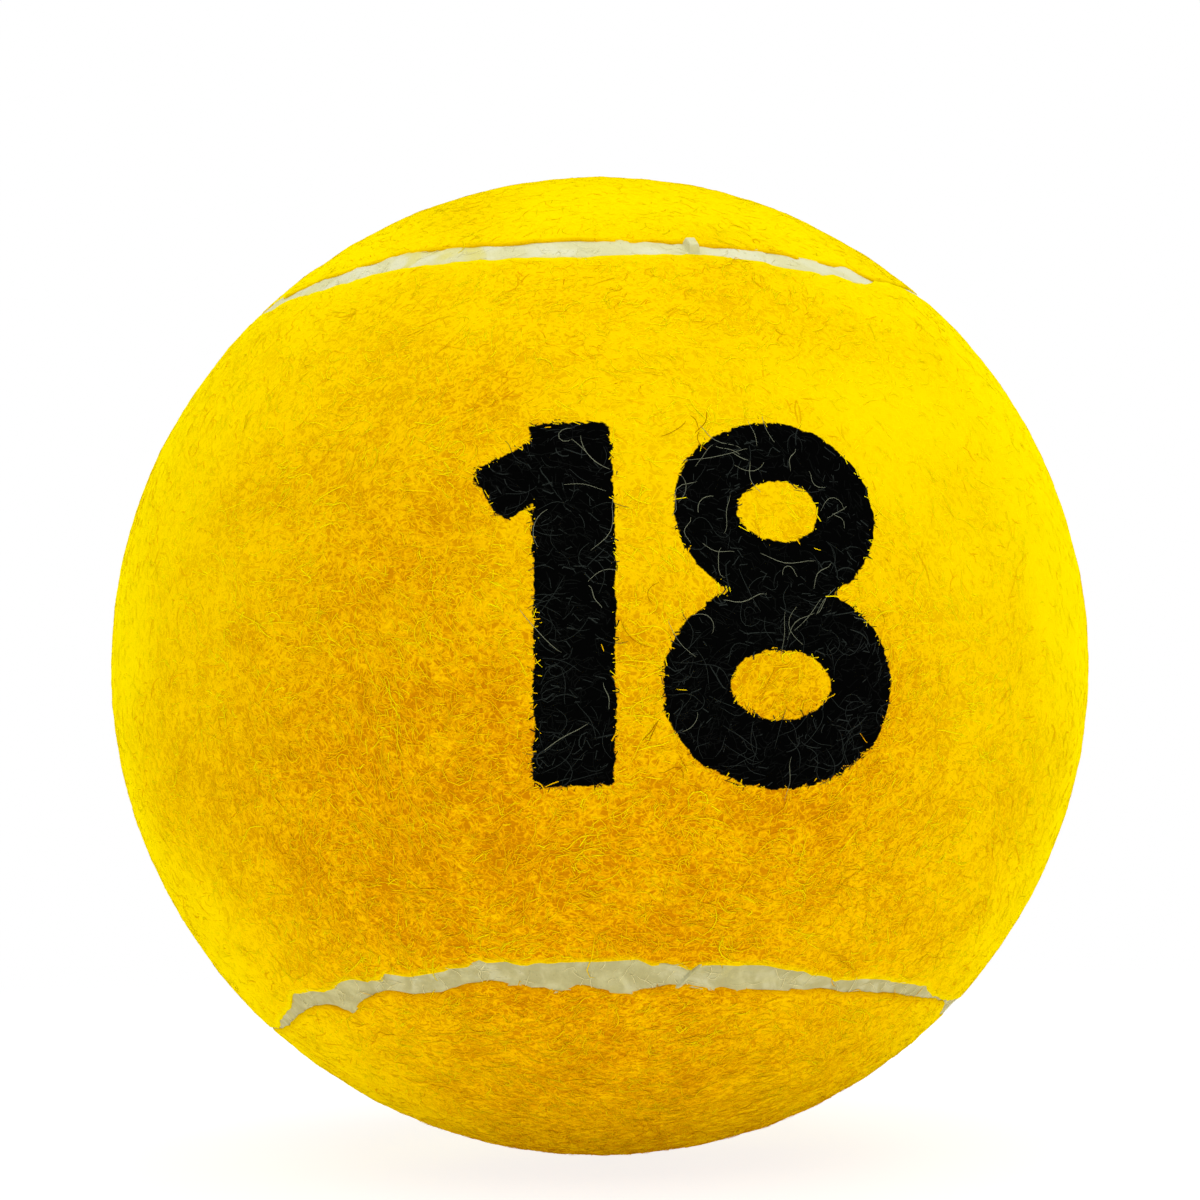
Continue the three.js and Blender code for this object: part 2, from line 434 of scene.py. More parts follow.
@dataclass(frozen=True)
class PrintedNumber:
    """A plain number stamped in black ink on the front panel's nap.

    Attributes:
        middle: the direction of its middle from the ball's centre.
        strokes: the figures' strokes.
        fray: how far the ink's edge strays in the nap, in millimetres.
        fray_size: how wide such strays are.
        seed: the seed of the strays.
        far: the depth that the other half of the ball is given, in millimetres.
    """

    middle: tuple[float, float, float] = (0.116, -0.993, -0.027)
    strokes: tuple[Bar | Hoop, ...] = (
        Bar((-5.9, -9.6), (-5.9, 9.6), 4.2),
        Bar((-10.3, 5.5), (-5.7, 8.25), 3.1),
        Hoop((5.0, 4.75), 3.95, 3.35, 3.4),
        Hoop((5.0, -4.45), 4.6, 3.6, 3.6),
    )
    fray: float = 0.10
    fray_size: float = 0.45 * MM
    seed: int = 71
    far: float = -9.0

    def depth(self, points: Array) -> Array:
        """Finds how deep places lie in the ink.

        Args:
            points: places near the ball's surface, one a row.

        Returns:
            The depth in millimetres, negative outside the ink.
        """
        middle = unit(np.array(self.middle))
        right = unit(np.cross(middle, (0.0, 0.0, -1.0)))
        up = np.cross(right, -middle)
        ahead = points @ middle > 0
        x, y = points @ right / MM, points @ up / MM
        depth = np.max([stroke.depth(x, y) for stroke in self.strokes], axis=0)
        depth += self.fray * LatticeNoise(self.seed).octaves(points, self.fray_size, 2)
        return np.where(ahead, depth, self.far)


NUMBER = PrintedNumber()


def triangles_between(first: Array, second: Array, closed: bool = True) -> Array:
    """Joins two equal rows of vertex numbers with triangles.

    Args:
        first: one row.
        second: the row beside it.
        closed: whether the rows run round and meet.

    Returns:
        The triangles, one a row.
    """
    if closed:
        ahead_first, ahead_second = np.roll(first, -1), np.roll(second, -1)
    else:
        first, ahead_first = first[:-1], first[1:]
        second, ahead_second = second[:-1], second[1:]
    return np.concatenate(
        [np.stack([first, second, ahead_second], 1), np.stack([first, ahead_second, ahead_first], 1)]
    )


def make_mesh(
    name: str,
    points: Array,
    triangles: Array,
    materials: Sequence[bpy.types.Material],
    slots: Array | None = None,
    attributes: dict[str, Array] | None = None,
) -> bpy.types.Object:
    """Puts arrays into a mesh object at the origin.

    Args:
        name: the piece's name.
        points: vertices, one a row.
        triangles: vertex numbers, three a row.
        materials: the materials of its slots.
        slots: the slot of each triangle, if there are several.
        attributes: numbers for each vertex, by name.

    Returns:
        The object, linked to the scene.
    """
    mesh = bpy.data.meshes.new(name)
    mesh.vertices.add(len(points))
    mesh.vertices.foreach_set("co", np.ascontiguousarray(points, np.float32).ravel())
    mesh.loops.add(3 * len(triangles))
    mesh.loops.foreach_set("vertex_index", np.ascontiguousarray(triangles, np.int32).ravel())
    mesh.polygons.add(len(triangles))
    mesh.polygons.foreach_set("loop_start", np.arange(0, 3 * len(triangles), 3, dtype=np.int32))
    for material in materials:
        mesh.materials.append(material)
    if slots is not None:
        mesh.polygons.foreach_set("material_index", np.ascontiguousarray(slots, np.int32))
    for key, values in (attributes or {}).items():
        layer = mesh.attributes.new(key, "FLOAT", "POINT")
        layer.data.foreach_set("value", np.ascontiguousarray(values, np.float32))
    mesh.update(calc_edges=True)
    mesh.shade_smooth()
    made = bpy.data.objects.new(name, mesh)
    bpy.context.scene.collection.objects.link(made)
    LOG.info("%s: %d triangles", name, len(triangles))
    return made


@dataclass(frozen=True)
class Signal:
    """An output socket of a shader, whose operators add Math nodes.

    Attributes:
        graph: the shader graph that it belongs to.
        socket: the output socket.
    """

    graph: Graph
    socket: bpy.types.NodeSocket

    def _math(self, operation: str, first: Signal | float, second: Signal | float) -> Signal:
        """Returns the result of a Math node on two values."""
        return self.graph.add("ShaderNodeMath", {"operation": operation}, {0: first, 1: second})

    def __add__(self, other: Signal | float) -> Signal:
        """Returns this plus the other."""
        return self._math("ADD", self, other)

    def __radd__(self, other: float) -> Signal:
        """Returns a number plus this."""
        return self._math("ADD", other, self)

    def __sub__(self, other: Signal | float) -> Signal:
        """Returns this less the other."""
        return self._math("SUBTRACT", self, other)

    def __rsub__(self, other: float) -> Signal:
        """Returns a number less this."""
        return self._math("SUBTRACT", other, self)

    def __mul__(self, other: Signal | float) -> Signal:
        """Returns this times the other."""
        return self._math("MULTIPLY", self, other)

    def __rmul__(self, other: float) -> Signal:
        """Returns a number times this."""
        return self._math("MULTIPLY", other, self)

    def larger(self, other: Signal | float) -> Signal:
        """Returns the larger of this and the other."""
        return self._math("MAXIMUM", self, other)

    def between(self, low: float, high: float) -> Signal:
        """Returns 0 below low, 1 above high, and a smooth rise between them."""
        settings = {"interpolation_type": "SMOOTHSTEP"}
        inputs = {"Value": self, "From Min": low, "From Max": high}
        return self.graph.add("ShaderNodeMapRange", settings, inputs)


Colour = tuple[float, float, float]


class Graph:
    """The node tree of one material, with its Principled shader."""

    def __init__(self, name: str) -> None:
        """Makes the material with an empty tree.

        Args:
            name: the material's name.
        """
        self.material = bpy.data.materials.new(name)
        self.material.use_nodes = True
        self.tree = self.material.node_tree
        self.tree.nodes.clear()

    def add(
        self,
        kind: str,
        settings: dict | None = None,
        inputs: dict | None = None,
        output: int | str = 0,
    ) -> Signal:
        """Adds a node.

        Args:
            kind: the node's type.
            settings: its properties, set first.
            inputs: values or signals by socket name or number.
            output: the socket to return.

        Returns:
            The signal of that output.
        """
        node = self.tree.nodes.new(kind)
        for key, value in (settings or {}).items():
            setattr(node, key, value)
        for key, value in (inputs or {}).items():
            if isinstance(value, Signal):
                self.tree.links.new(value.socket, node.inputs[key])
            else:
                node.inputs[key].default_value = value
        return Signal(self, node.outputs[output])

    def place(self) -> Signal:
        """Returns the object coordinates, in metres."""
        return self.add("ShaderNodeTexCoord", output="Object")

    def noise(self, scale: float, detail: float = 2.0, distortion: float = 0.0) -> Signal:
        """Returns fractal noise from 0 to 1 on the object coordinates, with scale cells a metre."""
        inputs = {"Vector": self.place(), "Scale": scale, "Detail": detail, "Distortion": distortion}
        return self.add("ShaderNodeTexNoise", inputs=inputs, output="Fac")

    def wisps(self, scale: float, turn: float, stretch: float) -> Signal:
        """Adds thin branching lines that run along one direction.

        Args:
            scale: how many cells fit in a metre.
            turn: the direction's turn about Y from X, in radians.
            stretch: how drawn out they are.

        Returns:
            A number that is highest on the lines.
        """
        settings = {"vector_type": "TEXTURE"}
        inputs = {"Vector": self.place(), "Rotation": (0.0, turn, 0.0), "Scale": (stretch, 1.0, 1.0)}
        turned = self.add("ShaderNodeMapping", settings, inputs)
        ridged = {"noise_type": "RIDGED_MULTIFRACTAL"}
        shape = {
            "Vector": turned,
            "Scale": scale,
            "Detail": 2.0,
            "Roughness": 0.6,
            "Offset": 1.0,
            "Gain": 1.0,
            "Distortion": 0.7,
        }
        return self.add("ShaderNodeTexNoise", ridged, shape, output="Fac")

    def attribute(self, name: str) -> Signal:
        """Returns a number stored on the mesh's vertices."""
        return self.add("ShaderNodeAttribute", {"attribute_name": name}, output="Fac")

    def blend(self, share: Signal, first: Colour | Signal, second: Colour | Signal) -> Signal:
        """Returns a colour between two, by a share from 0 to 1."""
        ends = [value if isinstance(value, Signal) else (*value, 1.0) for value in (first, second)]
        settings = {"data_type": "RGBA"}
        inputs = {0: share, 6: ends[0], 7: ends[1]}
        return self.add("ShaderNodeMix", settings, inputs, output=2)

    def bump(self, height: Signal, distance: float, strength: float) -> Signal:
        """Returns the normals of a surface raised by a height from 0 to 1."""
        inputs = {"Height": height, "Distance": distance, "Strength": strength}
        return self.add("ShaderNodeBump", inputs=inputs)

    def finish(self, inputs: dict) -> bpy.types.Material:
        """Ends the graph in a Principled shader.

        Args:
            inputs: values or signals by the shader's socket names.

        Returns:
            The material.
        """
        shader = self.add("ShaderNodeBsdfPrincipled", inputs=inputs)
        self.add_output(shader)
        return self.material

    def add_output(self, shader: Signal) -> None:
        """Sends a shader to the material's output."""
        output = self.tree.nodes.new("ShaderNodeOutputMaterial")
        self.tree.links.new(shader.socket, output.inputs["Surface"])


@dataclass(frozen=True)
class FeltFinish:
    """The needled ground of the felt, below its nap.

    Attributes:
        pit_shade: painted shade, the dark colour of the small gaps between fibres.
        ground: the usual colour.
        wisp: the colour of single fibres.
        fresh_and_lit: the lemon that the felt leans to where the worn-and-shaded field is low: a full
            nap, and painted sheen and light towards the outline and the top.
        rim: painted sheen, the lemon colour along the front panel's cut edge.
        shade: painted shade, the darker colour along the rear panel's cut edge.
        ink: the colour of the print.
        sheen: the colour of loose fibre ends seen edge-on.
        sheen_weight: how strong that sheen is.
        layers: the crossing layers of fibres, each its cells a metre and its turn in radians.
        stretch: how drawn out those fibres are.
        clump_scale: clumps a metre.
        clumping: how much clumps lighten the felt.
        gap_shade_tones: the tones from the darkest painted gap shade to none.
        wisp_tones: the tones from no single fibre to the lightest.
        rim_sheen_share: how much of the painted sheen the front cut edge has.
        edge_shade_share: how much of the painted shade the rear cut edge has.
        relief: how high the fibres stand in the bump.
        ragged_scale: the cells a metre that fray the ink's edge.
    """

    pit_shade: Colour = (0.51, 0.175, 0.0)
    ground: Colour = (0.73, 0.325, 0.0)
    wisp: Colour = (0.91, 0.55, 0.0)
    fresh_and_lit: Colour = (0.92, 0.69, 0.0)
    rim: Colour = (0.72, 0.67, 0.0)
    shade: Colour = (0.50, 0.20, 0.0)
    ink: Colour = (0.0010, 0.0011, 0.0010)
    sheen: Colour = (1.0, 1.0, 0.0)
    sheen_weight: float = 0.55
    layers: tuple[tuple[float, float], ...] = ((2300.0, 0.15), (2700.0, 1.0), (2500.0, -0.75))
    stretch: float = 2.0
    clump_scale: float = 420.0
    clumping: float = 1.1
    gap_shade_tones: tuple[float, float] = (0.95, 1.40)
    wisp_tones: tuple[float, float] = (1.35, 1.85)
    rim_sheen_share: float = 0.4
    edge_shade_share: float = 0.45
    relief: float = 0.09 * MM
    ragged_scale: float = 3200.0

    def material(self) -> bpy.types.Material:
        """Builds the felt's material.

        Its vertices carry tuft and worn_and_shaded from 0 to 1, rim from -1 to 1, which paints sheen
        at the front panel's cut edge and shade at the rear one's, and ink, the print's depth in
        millimetres.
        """
        graph = Graph("felt_ground")
        tuft, worn_and_shaded, rim = (graph.attribute(name) for name in ("tuft", "worn_and_shaded", "rim"))
        layers = [graph.wisps(scale, turn, self.stretch) for scale, turn in self.layers]
        strands = layers[0].larger(layers[1]).larger(layers[2])
        clump = graph.noise(self.clump_scale, 2.0, 0.4) - 0.5 + (tuft - 0.5) * 0.15
        tone = strands + clump * self.clumping
        # Wear and painted light: amber where the worn-and-shaded field is high, on the front and
        # underneath, and lemon towards the outline and the top.
        colour = graph.blend((1.0 - worn_and_shaded) * 0.85, self.ground, self.fresh_and_lit)
        # Painted shade in the gaps between fibres: low tones darken to the pit colour, most where the
        # worn-and-shaded field is high.
        shaded_hollow = 1.0 - tone.between(*self.gap_shade_tones)
        colour = graph.blend(shaded_hollow * (0.08 + worn_and_shaded * 0.82), colour, self.pit_shade)
        colour = graph.blend(tone.between(*self.wisp_tones) * (0.25 + worn_and_shaded * 0.55), colour, self.wisp)
        # Painted sheen along the front panel's cut edge, and painted shade along the rear panel's.
        colour = graph.blend(rim.between(0.2, 1.0) * self.rim_sheen_share, colour, self.rim)
        colour = graph.blend((rim * -1.0).between(0.2, 1.0) * self.edge_shade_share, colour, self.shade)
        relief = graph.bump(tone * (0.10 + worn_and_shaded * 0.40), self.relief, 0.5)
        felt = {
            "Base Color": colour,
            "Roughness": 0.95,
            "Specular IOR Level": 0.0,
            "Sheen Weight": self.sheen_weight,
            "Sheen Roughness": 0.5,
            "Sheen Tint": (*self.sheen, 1.0),
            "Normal": relief,
        }
        print_ink = {
            "Base Color": (*self.ink, 1.0),
            "Roughness": 0.9,
            "Specular IOR Level": 0.0,
            "Normal": relief,
        }
        ragged = graph.attribute("ink") + (graph.noise(self.ragged_scale) - 0.5) * 0.30
        inked = ragged.between(-0.04, 0.04)
        bare = graph.add("ShaderNodeBsdfPrincipled", inputs=felt)
        printed = graph.add("ShaderNodeBsdfPrincipled", inputs=print_ink)
        graph.add_output(graph.add("ShaderNodeMixShader", inputs={0: inked, 1: bare, 2: printed}))
        return graph.material


class Shade(Enum):
    """The dye of a fibre, by its base colour."""

    LEMON = (0.94, 0.76, 0.0)
    YELLOW = (0.93, 0.64, 0.0)
    GOLD = (0.87, 0.49, 0.0)
    AMBER = (0.77, 0.35, 0.0)
    INK = (0.0045, 0.0050, 0.0045)
    SMOKE = (0.020, 0.024, 0.021)
    PALE = (0.17, 0.18, 0.12)
    CREAM = (0.86, 0.80, 0.42)
    DARK = (0.38, 0.15, 0.0)

    @property
    def slot(self) -> int:
        """Returns the shade's place among a fibre piece's material slots."""
        return list(Shade).index(self)

    def material(self) -> bpy.types.Material:
        """Builds the fibre's material."""
        graph = Graph("fibre_" + self.name.lower())
        return graph.finish(
            {
                "Base Color": (*self.value, 1.0),
                "Roughness": 0.9,
                "Specular IOR Level": 0.0,
            }
        )


@dataclass(frozen=True)
class SeamFinish:
    """The moulded off-white rubber of the seam.

    Attributes:
        cream: its main colour.
        bare: its paler patches.
        dyed: where the felt's dye has bled into it.
        shaded_and_soiled: a darker, greyer colour towards the bottom of the ball, in blotches:
            painted shade and some grime.
        grime: specks of dirt.
        patch_scale: the cells a metre of the paler patches.
        stain_scale: the cells a metre of the dye stains.
        cloud_scale: the cells a metre by which the height of that darkening varies.
        blotch_scale: the cells a metre of its blotches.
        speck_scale: the cells a metre of the specks.
        grain_scale: the cells a metre of the rubber's grain.
        relief: how high the grain stands in the bump.
    """

    cream: Colour = (0.60, 0.58, 0.31)
    bare: Colour = (0.64, 0.63, 0.41)
    dyed: Colour = (0.61, 0.55, 0.12)
    shaded_and_soiled: Colour = (0.40, 0.37, 0.17)
    grime: Colour = (0.30, 0.27, 0.12)
    patch_scale: float = 420.0
    stain_scale: float = 230.0
    cloud_scale: float = 90.0
    blotch_scale: float = 1100.0
    speck_scale: float = 5200.0
    grain_scale: float = 3800.0
    relief: float = 0.05 * MM

    def material(self) -> bpy.types.Material:
        """Builds the seam's material."""
        graph = Graph("seam_rubber")
        patches = graph.noise(self.patch_scale, 2.0, 0.3).between(0.42, 0.6)
        colour = graph.blend(patches, self.cream, self.bare)
        stain = graph.noise(self.stain_scale, 3.0, 0.8).between(0.52, 0.68)
        edge = graph.attribute("edge")
        colour = graph.blend((stain + edge * 0.8).between(0.0, 1.6), colour, self.dyed)
        # Painted shade: the seam turns darker and greyer towards the bottom of the ball, in blotches,
        # with some grime.
        height = graph.add("ShaderNodeSeparateXYZ", inputs={0: graph.place()}, output="Z")
        depth = height * (-1.0 / BALL_RADIUS)
        low = (depth + graph.noise(self.cloud_scale) * 0.6).between(-0.1, 0.7)
        blotch = graph.noise(self.blotch_scale, 3.0, 0.6).between(0.30, 0.66)
        colour = graph.blend(low * (0.50 + blotch * 0.50), colour, self.shaded_and_soiled)
        specks = graph.noise(self.speck_scale, 1.0).between(0.70, 0.78)
        colour = graph.blend(specks * 0.5, colour, self.grime)
        grain = graph.noise(self.grain_scale, 3.0)
        return graph.finish(
            {
                "Base Color": colour,
                "Roughness": 0.75 + grain * 0.2,
                "Specular IOR Level": 0.15,
                "Normal": graph.bump(grain, self.relief, 0.7),
            }
        )


@dataclass(frozen=True)
class RubberFinish:
    """A compounded rubber with filler specks.

    Attributes:
        name: the material's name.
        body: its main colour.
        speck: the colour of its filler.
        roughness: its least roughness.
        speck_scale: the cells a metre of the specks.
        cloud_scale: the cells a metre of its clouding.
        grain_scale: the cells a metre of its grain.
        relief: how high the grain stands in the bump.
    """

    name: str
    body: Colour
    speck: Colour
    roughness: float
    speck_scale: float = 1900.0
    cloud_scale: float = 160.0
    grain_scale: float = 2400.0
    relief: float = 0.04 * MM

    def material(self) -> bpy.types.Material:
        """Builds the rubber's material."""
        graph = Graph(self.name)
        specks = graph.noise(self.speck_scale).between(0.60, 0.72)
        cloud = graph.noise(self.cloud_scale, 3.0)
        colour = graph.blend(specks * 0.5 + cloud * 0.25, self.body, self.speck)
        grain = graph.noise(self.grain_scale, 3.0)
        return graph.finish(
            {
                "Base Color": colour,
                "Roughness": self.roughness + grain * 0.12,
                "Normal": graph.bump(grain, self.relief, 0.5),
            }
        )


@dataclass(frozen=True)
class Nap:
    """The height of the felt's surface over the ball.

    Attributes:
        ground: the felt's mean radius below its fibres.
        tuft_height: how far tufts rise and fall.
        tuft_size: how wide tufts are.
        tuft_seed: the seed of the tufts.
        swell_height: how far broad swellings rise and fall.
        swell_size: how wide they are.
        swell_seed: the seed of the swellings.
        roll: how far from its cut edge the felt starts to roll over.
        drop: how far the cut edge lies below the rest.
        steepest: how nearly upright the roll ends, where 1 is upright.
    """

    ground: float = BALL_RADIUS - 0.15 * MM
    tuft_height: float = 0.055 * MM
    tuft_size: float = 1.5 * MM
    tuft_seed: int = 5
    swell_height: float = 0.05 * MM
    swell_size: float = 9.0 * MM
    swell_seed: int = 6
    roll: float = 0.3 * MM
    drop: float = 0.07 * MM
    steepest: float = 0.98

    def tuft(self, directions: Array) -> Array:
        """Returns the tufts' noise from about -1 to 1 at unit vectors."""
        return LatticeNoise(self.tuft_seed).octaves(directions * BALL_RADIUS, self.tuft_size)

    def radius(self, directions: Array, from_edge: Array, tuft: Array) -> Array:
        """Finds the felt's surface: the ground with swells and tufts, less a round roll at the edge.

        Args:
            directions: unit vectors, one a row.
            from_edge: the distance of each from the panel's cut edge.
            tuft: the tufts' noise there.

        Returns:
            The distance of the surface from the ball's centre.
        """
        short = np.clip(1.0 - from_edge / self.roll, 0.0, 1.0)
        rolled = self.drop * (1.0 - np.sqrt(1.0 - self.steepest * short * short))
        swell = LatticeNoise(self.swell_seed).values(directions * BALL_RADIUS, self.swell_size)
        return self.ground + self.swell_height * swell + self.tuft_height * tuft - rolled


NAP = Nap()


@dataclass
class FeltPanel:
    """One waisted felt panel's needled ground, closed all round.

    The outer face is a set of rings that run from the cut edge to a smooth inner ring, and inside
    that ring a loft of great arcs between mirrored places on it.

    Attributes:
        node: the panel's node in the frame.
        side: 1 for the front panel and -1 for the rear one.
        edge: its cut edge.
        steps: vertices round the edge.
        across: vertices across the loft.
        rings: rings between the edge and the loft.
        crowding: the power by which the rings crowd towards the edge.
        inner_across: vertices across the loft of the inner face.
        inset: how far from the seam line the loft starts.
        painted_rim_width: how far in from its cut edge the painted sheen at the front and the painted
            shade at the rear reach.
        cement: the node of the cement that holds it; not used.
        backing: the radius of its inner face.
        flat: its width and length before it is stretched over the ball; not used.
        flat_area: its area then; not used.
    """

    node: str
    side: int
    edge: CutEdge
    cement: str
    steps: int = 760
    across: int = 140
    rings: int = 13
    crowding: float = 1.6
    inner_across: int = 16
    inset: float = 5.0 * MM
    painted_rim_width: float = 0.7 * MM
    backing: float = CORE_RADIUS + 0.7 * MM
    flat: tuple[float, float] = (0.158, 0.058)
    flat_area: float = 0.0061

    def laps(self) -> Array:
        """Returns the rings' places, in the order that keeps mirrored pairs together."""
        start = 0.0 if self.side > 0 else 0.25
        return (start + np.arange(self.steps) / self.steps) % 1.0

    def ring(self, share: float, radius: Array | float) -> Array:
        """Returns a ring from the cut edge at share 0 to the loft's ring at share 1."""
        laps = self.laps()
        cut = self.edge.distance(laps)
        distance = cut * (1 - share) + self.inset * share
        return SEAM.beside(laps, self.side * distance, np.broadcast_to(radius, laps.shape))

    def loft(self, ring: Array, count: int) -> tuple[Array, Array]:
        """Fills a ring with great arcs between mirrored points.

        Args:
            ring: the ring's points, whose first and middle points are the panel's ends.
            count: arcs' inner points.

        Returns:
            The inner points, and the triangles with the ring's points numbered first.
        """
        half = len(ring) // 2
        left, right = unit(ring[1:half]), unit(ring[:half:-1])
        angle = np.arccos(np.clip(np.einsum("ij,ij->i", left, right), -1, 1))[:, None, None]
        share = np.linspace(0, 1, count + 2)[None, 1:-1, None]
        weights = np.sin((1 - share) * angle), np.sin(share * angle)
        inner = (weights[0] * left[:, None] + weights[1] * right[:, None]) / np.sin(angle)
        numbers = np.empty((half + 1, count + 2), int)
        numbers[1:half, 1:-1] = len(ring) + np.arange((half - 1) * count).reshape(half - 1, count)
        numbers[1:half, 0] = np.arange(1, half)
        numbers[1:half, -1] = np.arange(len(ring) - 1, half, -1)
        numbers[0], numbers[half] = 0, half
        quads = [triangles_between(numbers[i], numbers[i + 1], closed=False) for i in range(half)]
        triangles = np.concatenate(quads)
        whole = np.all(triangles != np.roll(triangles, -1, axis=1), axis=1)
        return inner.reshape(-1, 3), triangles[whole]

    def face(self, shares: Sequence[float], count: int) -> tuple[Array, Array]:
        """Builds a face as unit vectors: rings from the cut edge inwards, then the loft.

        Args:
            shares: the rings' places, from 0 at the cut edge to 1 at the loft.
            count: the loft's inner points across.

        Returns:
            The unit vectors, the cut edge's ring first, and the triangles, facing outwards.
        """
        rings = [unit(self.ring(share, 1.0)) for share in shares]
        numbers = np.arange(self.steps * len(rings)).reshape(len(rings), self.steps)
        bands = [triangles_between(a, b) for a, b in zip(numbers[:-1], numbers[1:], strict=True)]
        inner, lofted = self.loft(rings[-1], count)
        lofted = lofted + numbers[-1][0]
        points = np.concatenate([*rings, inner])
        return points, np.concatenate([*bands, lofted])

    @staticmethod
    def faced(points: Array, triangles: Array) -> Array:
        """Returns triangles of a spherical face turned so that all of them look outwards."""
        a, b, c = (points[triangles[:, k]] for k in range(3))
        outward = np.einsum("ij,ij->i", np.cross(b - a, c - a), a + b + c) > 0
        return np.where(outward[:, None], triangles, triangles[:, ::-1])

    def ground(self, material: bpy.types.Material) -> None:
        """Builds the panel's closed body with its tufted face, which stands for the panel's node.

        Args:
            material: the felt's material.
        """
        shares = (np.arange(self.rings) / (self.rings - 1)) ** self.crowding
        outside, outer_faces = self.face(shares, self.across)
        inside, inner_faces = self.face((0.0, 1.0), self.inner_across)
        outer_faces = self.faced(outside, outer_faces)
        inner_faces = self.faced(inside, inner_faces)[:, ::-1]
        laps, side = SEAM.locate(outside)
        from_edge = np.maximum(self.side * side - self.edge.distance(laps), 0.0)
        from_edge[: self.steps] = 0.0
        tuft = NAP.tuft(outside)
        radius = NAP.radius(outside, from_edge, tuft)
        top = outside * radius[:, None]
        rim = unit(self.ring(0.0, 1.0))
        middle_radius = (radius[: self.steps] + self.backing) / 2
        wall = rim * middle_radius[:, None]
        bottom = inside * self.backing
        points = np.concatenate([top, wall, bottom])
        top_ring = np.arange(self.steps)
        wall_ring = len(top) + top_ring
        bottom_ring = len(top) + len(wall) + top_ring
        upper = triangles_between(top_ring, wall_ring)
        lower = triangles_between(wall_ring, bottom_ring)
        walls = np.concatenate([upper, lower])
        if not self.wall_faces_out(points, walls):
            walls = walls[:, ::-1]
        triangles = np.concatenate([outer_faces, walls, inner_faces + len(top) + len(wall)])
        tuft_value, rim_sheen_and_shade = np.zeros(len(points)), np.full(len(points), float(self.side))
        tuft_value[: len(top)] = 0.5 + 0.5 * tuft
        # Painted sheen along the front panel's cut edge, and painted shade along the rear panel's.
        rim_sheen_and_shade[: len(top)] = self.side * smooth(1.0 - from_edge / self.painted_rim_width)
        ink = np.clip(NUMBER.depth(points), -2, 2) if self.side > 0 else np.full(len(points), -2.0)
        values = {"tuft": tuft_value, "ink": ink, "rim": rim_sheen_and_shade, "worn_and_shaded": WEAR_AND_SHADE.share(unit(points))}
        piece = make_mesh(self.node + "_cover", points, triangles, [material], attributes=values)
        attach(piece, "root")
        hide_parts(self.node)

    def wall_faces_out(self, points: Array, walls: Array) -> bool:
        """Tells whether the wall's triangles look away from the panel, towards the seam."""
        a, b, c = (points[walls[:, k]] for k in range(3))
        normal = np.cross(b - a, c - a)
        laps, _ = SEAM.locate(unit(a))
        away = -self.side * SEAM.inward(laps)
        return float(np.einsum("ij,ij->i", normal, away).sum()) > 0


@dataclass(frozen=True)
class FibreKind:
    """A kind of fibre in the nap.

    Attributes:
        name: the name of its pieces.
        seed: the seed of its random numbers.
        count: fibres in each piece.
        pieces: how many pieces it fills on each panel.
        length: mean length.
        width: width at the middle.
        curl: how sharply they bend, in turns over their length.
        knees: rings of vertices between the two ends.
        lift: highest rise above the felt's ground.
        shades: dyes, from the lowest fibres to the highest.
        takes_ink: whether the print dyes them.
        crosses: whether they may lie over the seam.
        stray: the share that lies any way, and not along the felt's own direction.
    """

    name: str
    seed: int
    count: int
    pieces: int
    length: float
    width: float
    curl: float
    knees: int
    lift: float
    shades: tuple[Shade, ...]
    takes_ink: bool = True
    crosses: bool = False
    stray: float = 0.45


